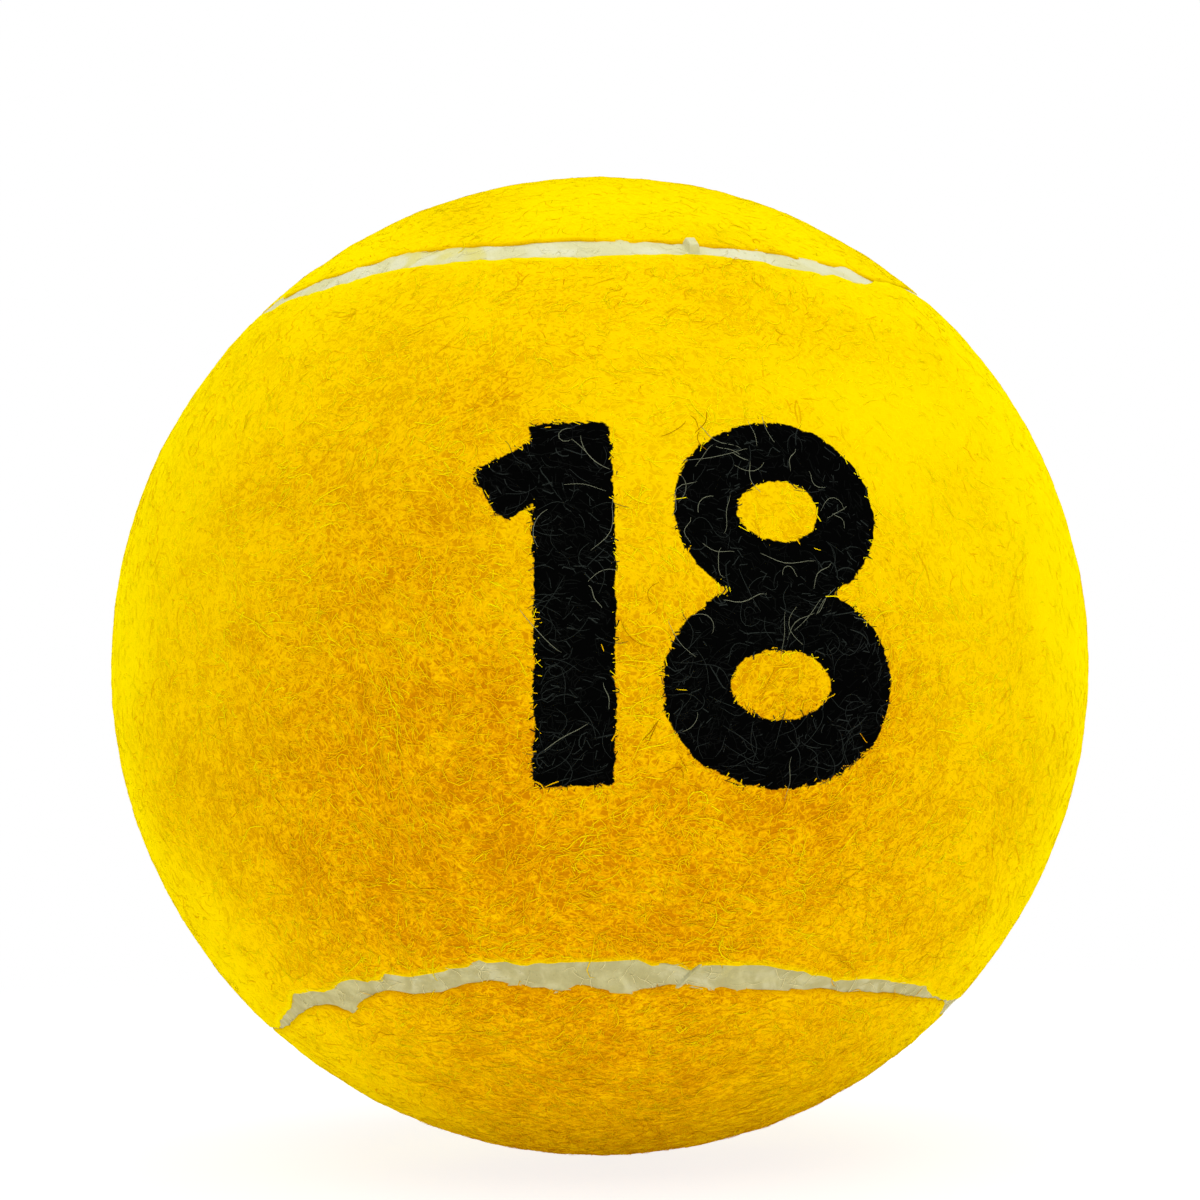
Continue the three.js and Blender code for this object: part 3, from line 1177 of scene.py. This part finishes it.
@dataclass
class FibreCoat:
    """The fibres on one panel, made in batches that stay small enough for one piece each.

    Each fibre is a flattened three-sided prism that tapers to a point at both ends and has its
    broad side outwards. Its centre line is a curling line in the plane that touches the ball,
    wrapped onto the felt's ground, and it rises in the middle.

    Attributes:
        panel: the panel that carries them.
        materials: the fibres' materials by shade.
        lie_turn: how far the felt's own direction turns from place to place, in radians.
        lie_size: how far apart such turns are.
        lie_seed: the seed of the turns.
        combed: how far a fibre that lies along the felt's direction turns from it, in radians.
        unevenness: how far lengths spread about their mean, as the log's deviation.
        overhang: the share of fibres near the cut edge that may reach over the seam.
        root_gap: how far from the cut edge the roots stay.
        fibre_gap: how far from the cut edge the other fibres stay.
        sunk: how deep their ends lie in the ground.
        flattest: the share of the lift that is left where the worn-and-shaded field is 0.
        flatness: a fibre's thickness as a share of its width.
        roll: how far fibres are rolled about their length, in radians.
        clump_size: how wide patches of one dye are.
        clump_seed: the seed of those patches.
        ink_fray: how far the ink strays from fibre to fibre, in millimetres.
        dry: the share of fibres in the print that took no ink.
        smoky: the share of fibres in the print that took less.
        least_drawn: the fewest roots drawn at a time.
    """

    panel: FeltPanel
    materials: list[bpy.types.Material]
    lie_turn: float = 1.3
    lie_size: float = 6.0 * MM
    lie_seed: int = 41
    combed: float = 0.35
    unevenness: float = 0.28
    overhang: float = 0.22
    root_gap: float = 0.08 * MM
    fibre_gap: float = 0.03 * MM
    sunk: float = 0.05 * MM
    flattest: float = 0.15
    flatness: float = 0.30
    roll: float = 0.2
    clump_size: float = 2.4 * MM
    clump_seed: int = 43
    ink_fray: float = 0.10
    dry: float = 0.004
    smoky: float = 0.16
    least_drawn: int = 20000

    def from_edge(self, directions: Array) -> Array:
        """Returns the distance of unit vectors from the panel's cut edge, positive on the panel."""
        laps, side = SEAM.locate(directions.reshape(-1, 3))
        distance = self.panel.side * side - self.panel.edge.distance(laps)
        return distance.reshape(directions.shape[:-1])

    def add(self, kind: FibreKind, where: Callable[[Array], Array] | None = None) -> None:
        """Adds all pieces of one kind.

        Args:
            kind: the kind of fibre.
            where: tells for unit vectors whether a fibre may be rooted there.
        """
        for number in range(kind.pieces):
            rng = np.random.default_rng((kind.seed, number, self.panel.side + 1))
            root = self.roots(rng, kind, where)
            points, lift = self.centre_lines(rng, root, kind)
            vertices, triangles, owner = self.prisms(rng, points, kind.width)
            slots = self.dyes(rng, kind, points, lift, owner)
            name = f"{self.panel.node}_{kind.name}_{number + 1}"
            made = make_mesh(name, vertices, triangles, self.materials, slots)
            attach(made, "root")

    def roots(
        self,
        rng: np.random.Generator,
        kind: FibreKind,
        where: Callable[[Array], Array] | None,
    ) -> Array:
        """Spreads roots over the panel, thinner between tufts and where the worn-and-shaded field is
        low.

        Args:
            rng: the random numbers.
            kind: the kind of fibre.
            where: tells for unit vectors whether a fibre may be rooted there.

        Returns:
            Unit vectors.
        """
        found = np.empty((0, 3))
        while len(found) < kind.count:
            drawn = unit(rng.normal(size=(max(4 * kind.count, self.least_drawn), 3)))
            if where is not None:
                drawn = drawn[where(drawn)]
            on_tuft = 0.55 + 0.45 * smooth(0.5 + 0.9 * NAP.tuft(drawn))
            full = on_tuft * (0.5 + 0.4 * WEAR_AND_SHADE.share(drawn))
            drawn = drawn[rng.uniform(size=len(drawn)) < full]
            if not kind.crosses:
                drawn = drawn[self.from_edge(drawn) > self.root_gap]
            found = np.concatenate([found, drawn])
        return found[: kind.count]

    def centre_lines(
        self,
        rng: np.random.Generator,
        root: Array,
        kind: FibreKind,
    ) -> tuple[Array, Array]:
        """Lays the fibres' centre lines on the felt.

        With s from -1/2 to 1/2 along a fibre, its heading is start + bend s + wave sin 2 pi s, its
        place on the touching plane is the sum of steps along that heading, and its height above the
        ground is a hump in s. Fibres that would cross the cut edge are left out, apart from a few.

        Args:
            rng: the random numbers.
            root: unit vectors of the fibres' middles.
            kind: the kind of fibre.

        Returns:
            The points, an array of fibres by stations by three, and each fibre's share of the lift.
        """
        amount, stations = len(root), kind.knees + 2
        helper = np.where(np.abs(root[:, 2:]) < 0.9, [[0.0, 0.0, 1.0]], [[1.0, 0.0, 0.0]])
        east = unit(np.cross(helper, root))
        north = np.cross(root, east)
        s = np.linspace(-0.5, 0.5, stations)
        turns = LatticeNoise(self.lie_seed).octaves(root * BALL_RADIUS, self.lie_size, 2)
        lie = self.lie_turn * turns
        astray = np.where(rng.uniform(size=amount) < kind.stray, np.pi, self.combed)
        start = (lie + astray * rng.uniform(-1, 1, amount))[:, None]
        bend = 2 * np.pi * kind.curl * rng.normal(0, 1, (amount, 1))
        wave = rng.normal(0, 0.5, (amount, 1)) * np.sin(2 * np.pi * s)[None]
        heading = start + bend * s[None] + wave
        length = kind.length * rng.lognormal(0.0, self.unevenness, (amount, 1))
        step = length / (stations - 1)
        start_point = np.zeros((amount, 1))
        ahead = np.concatenate([start_point, np.cumsum(step * np.cos(heading[:, :-1]), 1)], 1)
        aside = np.concatenate([start_point, np.cumsum(step * np.sin(heading[:, :-1]), 1)], 1)
        ahead -= ahead.mean(1, keepdims=True)
        aside -= aside.mean(1, keepdims=True)
        offset = ahead[..., None] * east[:, None] + aside[..., None] * north[:, None]
        direction = unit(root[:, None] * BALL_RADIUS + offset)
        clear = self.from_edge(direction)
        over = rng.uniform(size=amount) < self.overhang
        kept = (clear.min(1) > self.fibre_gap) | over | kind.crosses
        share = rng.uniform(0, 1, (amount, 1))
        hump = np.sin(np.pi * (s + 0.5))[None] ** 0.7
        raised = kind.lift * (self.flattest + (1.0 - self.flattest) * WEAR_AND_SHADE.share(root))[:, None]
        height = raised * share * hump - self.sunk * (1 - hump)
        direction, height, share = direction[kept], height[kept], share[kept]
        clear = np.maximum(clear[kept], 0)
        flat = direction.reshape(-1, 3)
        ground = NAP.radius(flat, clear.ravel(), NAP.tuft(flat)).reshape(clear.shape)
        return direction * (ground + height)[..., None], share[:, 0]

    def prisms(
        self,
        rng: np.random.Generator,
        points: Array,
        width: float,
    ) -> tuple[Array, Array, Array]:
        """Wraps a tapered three-sided prism round each centre line.

        Args:
            rng: the random numbers.
            points: the centre lines' points.
            width: the width at the middle.

        Returns:
            The vertices, the triangles, and each triangle's fibre and station.
        """
        amount, stations = points.shape[:2]
        inner = stations - 2
        along = unit(points[:, 2:] - points[:, :-2])
        across = unit(np.cross(along, unit(points[:, 1:-1])))
        up = np.cross(across, along)
        taper = np.sin(np.pi * np.arange(1, inner + 1) / (stations - 1)) ** 0.5
        radius = 0.5 * width * rng.uniform(0.75, 1.25, (amount, 1)) * taper[None]
        roll = np.pi / 6 + rng.normal(0, self.roll, (amount, 1, 1))
        turn = roll + np.arange(3)[None, None] * (2 * np.pi / 3)
        thick = self.flatness * np.sin(turn)
        ring = np.cos(turn)[..., None] * across[:, :, None] + thick[..., None] * up[:, :, None]
        rings = points[:, 1:-1, None] + radius[..., None, None] * ring
        rings = rings.reshape(amount, 3 * inner, 3)
        vertices = np.concatenate([points[:, :1], rings, points[:, -1:]], 1)
        pattern, station = self.pattern(inner)
        first = vertices.shape[1] * np.arange(amount)
        triangles = (pattern[None] + first[:, None, None]).reshape(-1, 3)
        owner = np.stack([np.repeat(np.arange(amount), len(pattern)), np.tile(station, amount)], 1)
        return vertices.reshape(-1, 3), triangles, owner

    @staticmethod
    def pattern(inner: int) -> tuple[Array, Array]:
        """Numbers the faces of one fibre: a fan at each tip and two triangles a side between rings.

        Args:
            inner: its rings.

        Returns:
            The triangles, and the station along the fibre of each.
        """
        last = 3 * inner + 1
        corner = np.arange(3)
        ahead = (corner + 1) % 3
        tip = np.stack([np.zeros(3, int), 1 + ahead, 1 + corner], 1)
        end = np.stack([np.full(3, last), last - 3 + corner, last - 3 + ahead], 1)
        low = 1 + 3 * np.arange(inner - 1)[:, None]
        sides = np.stack(
            [
                np.stack([low + corner, low + ahead, low + 3 + ahead], -1),
                np.stack([low + corner, low + 3 + ahead, low + 3 + corner], -1),
            ],
            1,
        ).reshape(-1, 3)
        along = np.repeat(np.arange(1, inner), 6)
        stations = np.concatenate([np.zeros(3, int), np.full(3, inner), along])
        return np.concatenate([tip, end, sides]), stations

    def dyes(
        self,
        rng: np.random.Generator,
        kind: FibreKind,
        points: Array,
        lift: Array,
        owner: Array,
    ) -> Array:
        """Dyes the triangles: black where a stretch lies in the print, and else by height in the nap.

        A fibre is lighter the higher it lies, which paints shade on the lower ones; lighter where the
        worn-and-shaded field is low, a fuller nap with painted sheen and light; lighter at the front
        panel's cut edge, painted sheen; and darker at the rear panel's, painted shade.

        Args:
            rng: the random numbers.
            kind: the kind of fibre.
            points: the centre lines' points.
            lift: each fibre's share of the lift.
            owner: the fibre and the station of each triangle.

        Returns:
            The material slot of each triangle.
        """
        slots = np.array([shade.slot for shade in kind.shades])
        clump = 0.22 * LatticeNoise(self.clump_seed).octaves(points[:, 0], self.clump_size, 2)
        first = unit(points[:, 0])
        # Painted light in the dyes: lower fibres, those where the worn-and-shaded field is high and
        # those by the rear cut edge are darker, as painted shade; those by the front cut edge
        # lighter, as painted sheen.
        near = self.panel.side * 0.35 * smooth(1.0 - self.from_edge(first) / MM)
        fresh_and_lit = 0.40 - 0.58 * WEAR_AND_SHADE.share(first)
        chance = rng.normal(0, 0.12, len(lift))
        level = np.clip(0.2 + 0.6 * lift + clump + near + fresh_and_lit + chance, 0, 0.999)
        dye = slots[(level * len(slots)).astype(int)][owner[:, 0]]
        if self.panel.side < 0 or not kind.takes_ink:
            return dye
        middles = (points[:, :-1] + points[:, 1:]) / 2
        inked = NUMBER.depth(middles.reshape(-1, 3)).reshape(middles.shape[:2])
        inked += rng.normal(0, self.ink_fray, (len(lift), 1))
        inked -= 1.0 * (rng.uniform(size=(len(lift), 1)) < self.dry)
        wet = inked[owner[:, 0], owner[:, 1]] > 0
        smoky = rng.uniform(size=len(lift))[owner[:, 0]] < self.smoky
        return np.where(wet, np.where(smoky, Shade.SMOKE.slot, Shade.INK.slot), dye)


# Depths in the print, in millimetres, past which hairs are rooted in it or outside it, and the
# part of the felt round the print's middle that carries dark hairs.
PRINT_INNER = 0.2
PRINT_OUTER = -0.1
DARK_HAIR_REACH = math.radians(20)
DARK_HAIR_LEFT = -0.1


def on_print(directions: Array) -> Array:
    """Tells whether unit vectors lie well in the print."""
    return NUMBER.depth(directions * BALL_RADIUS) > PRINT_INNER


def on_seam(directions: Array) -> Array:
    """Tells whether unit vectors lie on the bare seam."""
    laps, side = SEAM.locate(directions)
    return (side < FRONT_EDGE.distance(laps)) & (side > -REAR_EDGE.distance(laps))


def by_print(directions: Array) -> Array:
    """Tells whether unit vectors lie on the felt near the print and right of its left edge."""
    near = directions @ unit(np.array(NUMBER.middle)) > math.cos(DARK_HAIR_REACH)
    outside = NUMBER.depth(directions * BALL_RADIUS) < PRINT_OUTER
    return near & outside & (directions[:, 0] > DARK_HAIR_LEFT)


@dataclass(frozen=True)
class FlashNub:
    """A nub of rubber flash on the seam, where the halves of the mould met.

    Attributes:
        lap: its place along the seam.
        shift: its middle's distance from the seam line, towards the front panel.
        half_along: half its width along the seam.
        half_across: half its length across the seam.
        height: how far it stands up.
        slant: how far it leans along the seam for each step across.
    """

    lap: float
    shift: float
    half_along: float
    half_across: float
    height: float
    slant: float

    @staticmethod
    def flank(share: Array) -> Array:
        """Returns 1 up to 3/4 of a half width, 0 beyond 5/4 of it, and a smooth fall between them."""
        return smooth(2.5 - 2.0 * share)

    def rise(self, laps: Array, distance: Array) -> Array:
        """Returns the nub's height over a strip, by its laps and distances from the seam line."""
        across = distance - self.shift
        along = (laps[:, None] - self.lap) * SEAM_LENGTH - self.slant * across
        end = self.flank(np.abs(along) / self.half_along)
        return self.height * end * self.flank(np.abs(across) / self.half_across)


@dataclass
class SeamBand:
    """The moulded rubber seam between the felt panels.

    Its top is a strip across the groove, from one cut edge to the other, that lies a little below
    the nap and rises a little towards the felt. Nubs of flash stand where the mould parted.

    Attributes:
        steps: vertices along the seam.
        across: vertices across it.
        recess: how far its middle lies below the ball's outline.
        tuck: how far it reaches under the felt on each side.
        foot: the radius of its hidden inner face.
        rough: how far the moulded top rises and falls.
        rough_size: how wide such rises are.
        rough_seed: the seed of the rises.
        lip: how far it rises towards the felt.
        fine_steps: extra stations along each nub.
        fine_reach: how far those reach from the nub's middle, in millimetres.
        nubs: the flash.
    """

    steps: int = 1400
    across: int = 23
    recess: float = 0.24 * MM
    tuck: float = 0.22 * MM
    foot: float = CORE_RADIUS + 0.2 * MM
    rough: float = 0.045 * MM
    rough_size: float = 1.4 * MM
    rough_seed: int = 31
    lip: float = 0.04 * MM
    fine_steps: int = 65
    fine_reach: float = 1.6
    nubs: tuple[FlashNub, ...] = (
        FlashNub(
            lap=0.7685,
            shift=-0.85 * MM,
            half_along=0.36 * MM,
            half_across=0.50 * MM,
            height=0.45 * MM,
            slant=0.15,
        ),
        FlashNub(
            lap=0.2360,
            shift=-0.20 * MM,
            half_along=0.15 * MM,
            half_across=0.75 * MM,
            height=0.17 * MM,
            slant=-0.75,
        ),
    )

    def laps(self) -> Array:
        """Returns the stations along the seam, closer together at the flash."""
        even = np.arange(self.steps) / self.steps
        beside = np.linspace(-self.fine_reach, self.fine_reach, self.fine_steps) * MM / SEAM_LENGTH
        fine = [nub.lap + beside for nub in self.nubs]
        return np.unique(np.concatenate([even, *fine]))

    def build(self, material: bpy.types.Material) -> None:
        """Builds the seam, which stands for the seam's node.

        Args:
            material: the seam's material.
        """
        laps = self.laps()
        front = FRONT_EDGE.distance(laps) + self.tuck
        rear = -REAR_EDGE.distance(laps) - self.tuck
        share = np.linspace(0, 1, self.across)
        distance = rear[:, None] + (front - rear)[:, None] * share[None]
        grid = np.broadcast_to(laps[:, None], distance.shape)
        flat = SEAM.beside(grid.ravel(), distance.ravel(), np.full(distance.size, BALL_RADIUS))
        noise = LatticeNoise(self.rough_seed).octaves(flat, self.rough_size)
        rim = (2 * share - 1) ** 4
        height = self.rough * noise.reshape(distance.shape) + self.lip * rim[None]
        height += sum(nub.rise(laps, distance) for nub in self.nubs)
        top_radius = BALL_RADIUS - self.recess + height
        top = unit(flat).reshape(*distance.shape, 3) * top_radius[..., None]
        foot = unit(flat).reshape(*distance.shape, 3)[:, ::-1][:, :: self.across - 1]
        section = np.concatenate([top, foot * self.foot], 1)
        numbers = np.arange(section.shape[0] * section.shape[1]).reshape(section.shape[:2])
        rows = list(numbers.T)
        bands = [triangles_between(a, b) for a, b in zip(rows, rows[1:] + rows[:1], strict=True)]
        triangles = np.concatenate(bands)
        points = section.reshape(-1, 3)
        edge = np.zeros(section.shape[:2])
        edge[:, : self.across] = np.abs(2 * share - 1) ** 3
        if self.inside_out(points, triangles):
            triangles = triangles[:, ::-1]
        attributes = {"edge": edge.ravel()}
        piece = make_mesh("seam_rubber_band", points, triangles, [material], attributes=attributes)
        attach(piece, "root")
        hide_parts("seam_band")

    @staticmethod
    def inside_out(points: Array, triangles: Array) -> bool:
        """Tells whether a closed mesh's faces look inwards, from the sign of its volume."""
        a, b, c = (points[triangles[:, k]] for k in range(3))
        return float(np.einsum("ij,ij->i", a, np.cross(b, c)).sum()) < 0


@dataclass
class Core:
    """The layers inside: the rubber half-shells, their joint and the cement under the panels."""

    rubber: RubberFinish = RubberFinish(
        name="core_rubber",
        body=(0.022, 0.021, 0.019),
        speck=(0.10, 0.095, 0.085),
        roughness=0.72,
    )
    cement: RubberFinish = RubberFinish(
        name="cement",
        body=(0.52, 0.40, 0.17),
        speck=(0.66, 0.55, 0.30),
        roughness=0.48,
    )

    def dress(self) -> None:
        """Gives the frame's hidden nodes their materials."""
        finishes = {
            self.rubber: ("core_half_rear", "core_half_front"),
            self.cement: ("core_joint_cement", "panel_cement_front", "panel_cement_rear"),
        }
        for finish, nodes in finishes.items():
            material = finish.material()
            for node in nodes:
                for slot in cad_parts[node].material_slots:
                    slot.material = material
                LOG.info("%s: %s", node, finish.name)


@dataclass(frozen=True)
class Studio:
    """The camera at the photograph's angle, soft white lights and a pale floor.

    Attributes:
        azimuth: the camera's azimuth, in degrees; 0 looks along +Y.
        elevation: its elevation.
        roll: its roll.
        distance: from the ball's centre, in radii.
        half_view: the tangent of half the view's angle.
        rise: how far the frame is shifted up, in widths.
    """

    azimuth: float = -1.44
    elevation: float = -7.62
    roll: float = -0.91
    distance: float = 3.69
    half_view: float = 0.344
    rise: float = 0.055

    def camera(self) -> None:
        """Makes the scene's camera."""
        data = bpy.data.cameras.new("camera")
        data.sensor_width = 36.0
        data.lens = data.sensor_width / 2 / self.half_view
        data.shift_y = self.rise
        data.clip_start, data.clip_end = 0.005, 50.0
        camera = bpy.data.objects.new("camera", data)
        bpy.context.scene.collection.objects.link(camera)
        a, e = math.radians(self.azimuth), math.radians(self.elevation)
        back = Vector((math.sin(a) * math.cos(e), -math.cos(a) * math.cos(e), math.sin(e)))
        camera.location = back * self.distance * BALL_RADIUS
        camera.rotation_mode = "QUATERNION"
        turn = Quaternion((0.0, 0.0, 1.0), math.radians(self.roll))
        camera.rotation_quaternion = (-back).to_track_quat("-Z", "Y") @ turn
        bpy.context.scene.camera = camera

    @staticmethod
    def lamp(name: str, place: tuple[float, float, float], size: float, power: float) -> None:
        """Adds a square soft light that faces the ball.

        Args:
            name: its name.
            place: where it stands.
            size: its width.
            power: its power in watts.
        """
        data = bpy.data.lights.new(name, "AREA")
        data.shape, data.size, data.energy = "SQUARE", size, power
        lamp = bpy.data.objects.new(name, data)
        lamp.location = place
        lamp.rotation_mode = "QUATERNION"
        lamp.rotation_quaternion = (-Vector(place)).to_track_quat("-Z", "Y")
        bpy.context.scene.collection.objects.link(lamp)

    @staticmethod
    def world(strength: float) -> None:
        """Surrounds the ball with even white light, pure white to the camera and in gloss."""
        world = bpy.data.worlds.new("world")
        bpy.context.scene.world = world
        world.use_nodes = True
        tree = world.node_tree
        tree.nodes.clear()
        path = tree.nodes.new("ShaderNodeLightPath")
        seen = tree.nodes.new("ShaderNodeMath")
        seen.operation = "MAXIMUM"
        tree.links.new(path.outputs["Is Camera Ray"], seen.inputs[0])
        tree.links.new(path.outputs["Is Glossy Ray"], seen.inputs[1])
        ways = [tree.nodes.new("ShaderNodeBackground") for _ in range(2)]
        for background, level in zip(ways, (strength, 1.0), strict=True):
            background.inputs["Color"].default_value = (1.0, 1.0, 1.0, 1.0)
            background.inputs["Strength"].default_value = level
        mix = tree.nodes.new("ShaderNodeMixShader")
        tree.links.new(seen.outputs[0], mix.inputs[0])
        tree.links.new(ways[0].outputs[0], mix.inputs[1])
        tree.links.new(ways[1].outputs[0], mix.inputs[2])
        output = tree.nodes.new("ShaderNodeOutputWorld")
        tree.links.new(mix.outputs[0], output.inputs["Surface"])

    @staticmethod
    def floor(near: float, far: float, glow: float) -> None:
        """Lays a white floor, which shows the ball's shadow and is lost in the white further out.

        Args:
            near: the share of plain white that the camera sees under the ball.
            far: where only plain white is left, from the ball's foot.
            glow: how strongly it shines back on the ball, as a light table does.
        """
        half, level = 4.0, -BALL_RADIUS
        square = np.array([(-half, -half), (half, -half), (half, half), (-half, half)])
        corners = np.column_stack([square, np.full(4, level)])
        graph = Graph("floor_white")
        paper = graph.add("ShaderNodeBsdfDiffuse", inputs={"Color": (0.90, 0.90, 0.90, 1.0)})
        table = graph.add("ShaderNodeEmission", inputs={"Strength": glow})
        lit = graph.add("ShaderNodeAddShader", inputs={0: paper, 1: table})
        white = graph.add("ShaderNodeEmission", inputs={"Strength": 1.0})
        length = {"operation": "LENGTH"}
        reach = graph.add("ShaderNodeVectorMath", length, {0: graph.place()}, output="Value")
        seen = graph.add("ShaderNodeLightPath", output="Is Camera Ray")
        share = near + (1.0 - near) * reach.between(BALL_RADIUS, far)
        mixed = graph.add("ShaderNodeMixShader", inputs={0: seen * share, 1: lit, 2: white})
        graph.add_output(mixed)
        floor = make_mesh("floor", corners, np.array([(0, 1, 2), (0, 2, 3)]), [graph.material])

    def build(self) -> None:
        """Makes the camera, the lights and the floor."""
        self.camera()
        self.world(strength=0.29)
        self.lamp("top_softbox", (0.03, -0.20, 0.70), size=1.2, power=9.3)
        self.lamp("front_softbox", (0.05, -0.60, -0.10), size=0.7, power=0.34)
        self.lamp("rear_softbox", (0.0, 0.60, 0.05), size=0.7, power=1.2)
        self.floor(near=0.72, far=0.30, glow=0.38)


NAP_FIBRES = (
    FibreKind(
        name="matted_nap",
        seed=101,
        count=12000,
        pieces=1,
        length=1.15 * MM,
        width=0.080 * MM,
        curl=0.26,
        knees=2,
        lift=0.04 * MM,
        shades=(Shade.AMBER, Shade.GOLD, Shade.GOLD, Shade.YELLOW, Shade.LEMON),
        stray=0.30,
    ),
    FibreKind(
        name="fine_nap",
        seed=202,
        count=12400,
        pieces=3,
        length=1.05 * MM,
        width=0.055 * MM,
        curl=0.34,
        knees=2,
        lift=0.045 * MM,
        shades=(Shade.AMBER, Shade.GOLD, Shade.YELLOW, Shade.YELLOW, Shade.LEMON),
        stray=0.35,
    ),
    FibreKind(
        name="loose_nap",
        seed=252,
        count=4500,
        pieces=1,
        length=2.2 * MM,
        width=0.068 * MM,
        curl=0.45,
        knees=6,
        lift=0.10 * MM,
        shades=(Shade.GOLD, Shade.GOLD, Shade.GOLD, Shade.YELLOW, Shade.LEMON),
    ),
)
PALE_HAIR = FibreKind(
    name="pale_hairs",
    seed=303,
    count=210,
    pieces=1,
    length=2.3 * MM,
    width=0.036 * MM,
    curl=0.22,
    knees=8,
    lift=0.20 * MM,
    shades=(Shade.SMOKE, Shade.SMOKE, Shade.SMOKE, Shade.PALE),
    takes_ink=False,
    stray=1.0,
)
DARK_HAIR = FibreKind(
    name="dark_hairs",
    seed=404,
    count=14,
    pieces=1,
    length=2.2 * MM,
    width=0.036 * MM,
    curl=0.26,
    knees=8,
    lift=0.18 * MM,
    shades=(Shade.DARK,),
    takes_ink=False,
    stray=1.0,
)
SEAM_HAIR = FibreKind(
    name="seam_hairs",
    seed=505,
    count=420,
    pieces=1,
    length=1.5 * MM,
    width=0.035 * MM,
    curl=0.18,
    knees=4,
    lift=0.03 * MM,
    shades=(Shade.CREAM,),
    takes_ink=False,
    crosses=True,
    stray=1.0,
)


def main() -> None:
    """Builds the scene."""
    logging.basicConfig(level=logging.INFO, format="%(name)s: %(message)s")
    bpy.context.scene.view_settings.view_transform = "Standard"
    Studio().build()
    Core().dress()
    felt = FeltFinish().material()
    dyes = [shade.material() for shade in Shade]
    panels = (
        FeltPanel("felt_panel_front", 1, FRONT_EDGE, "panel_cement_front"),
        FeltPanel("felt_panel_rear", -1, REAR_EDGE, "panel_cement_rear"),
    )
    for panel in panels:
        panel.ground(felt)
        coat = FibreCoat(panel, dyes)
        for kind in NAP_FIBRES:
            coat.add(kind)
        if panel.side > 0:
            coat.add(PALE_HAIR, on_print)
            coat.add(DARK_HAIR, by_print)
            coat.add(SEAM_HAIR, on_seam)
    SeamBand().build(SeamFinish().material())


if __name__ == "__main__":
    main()
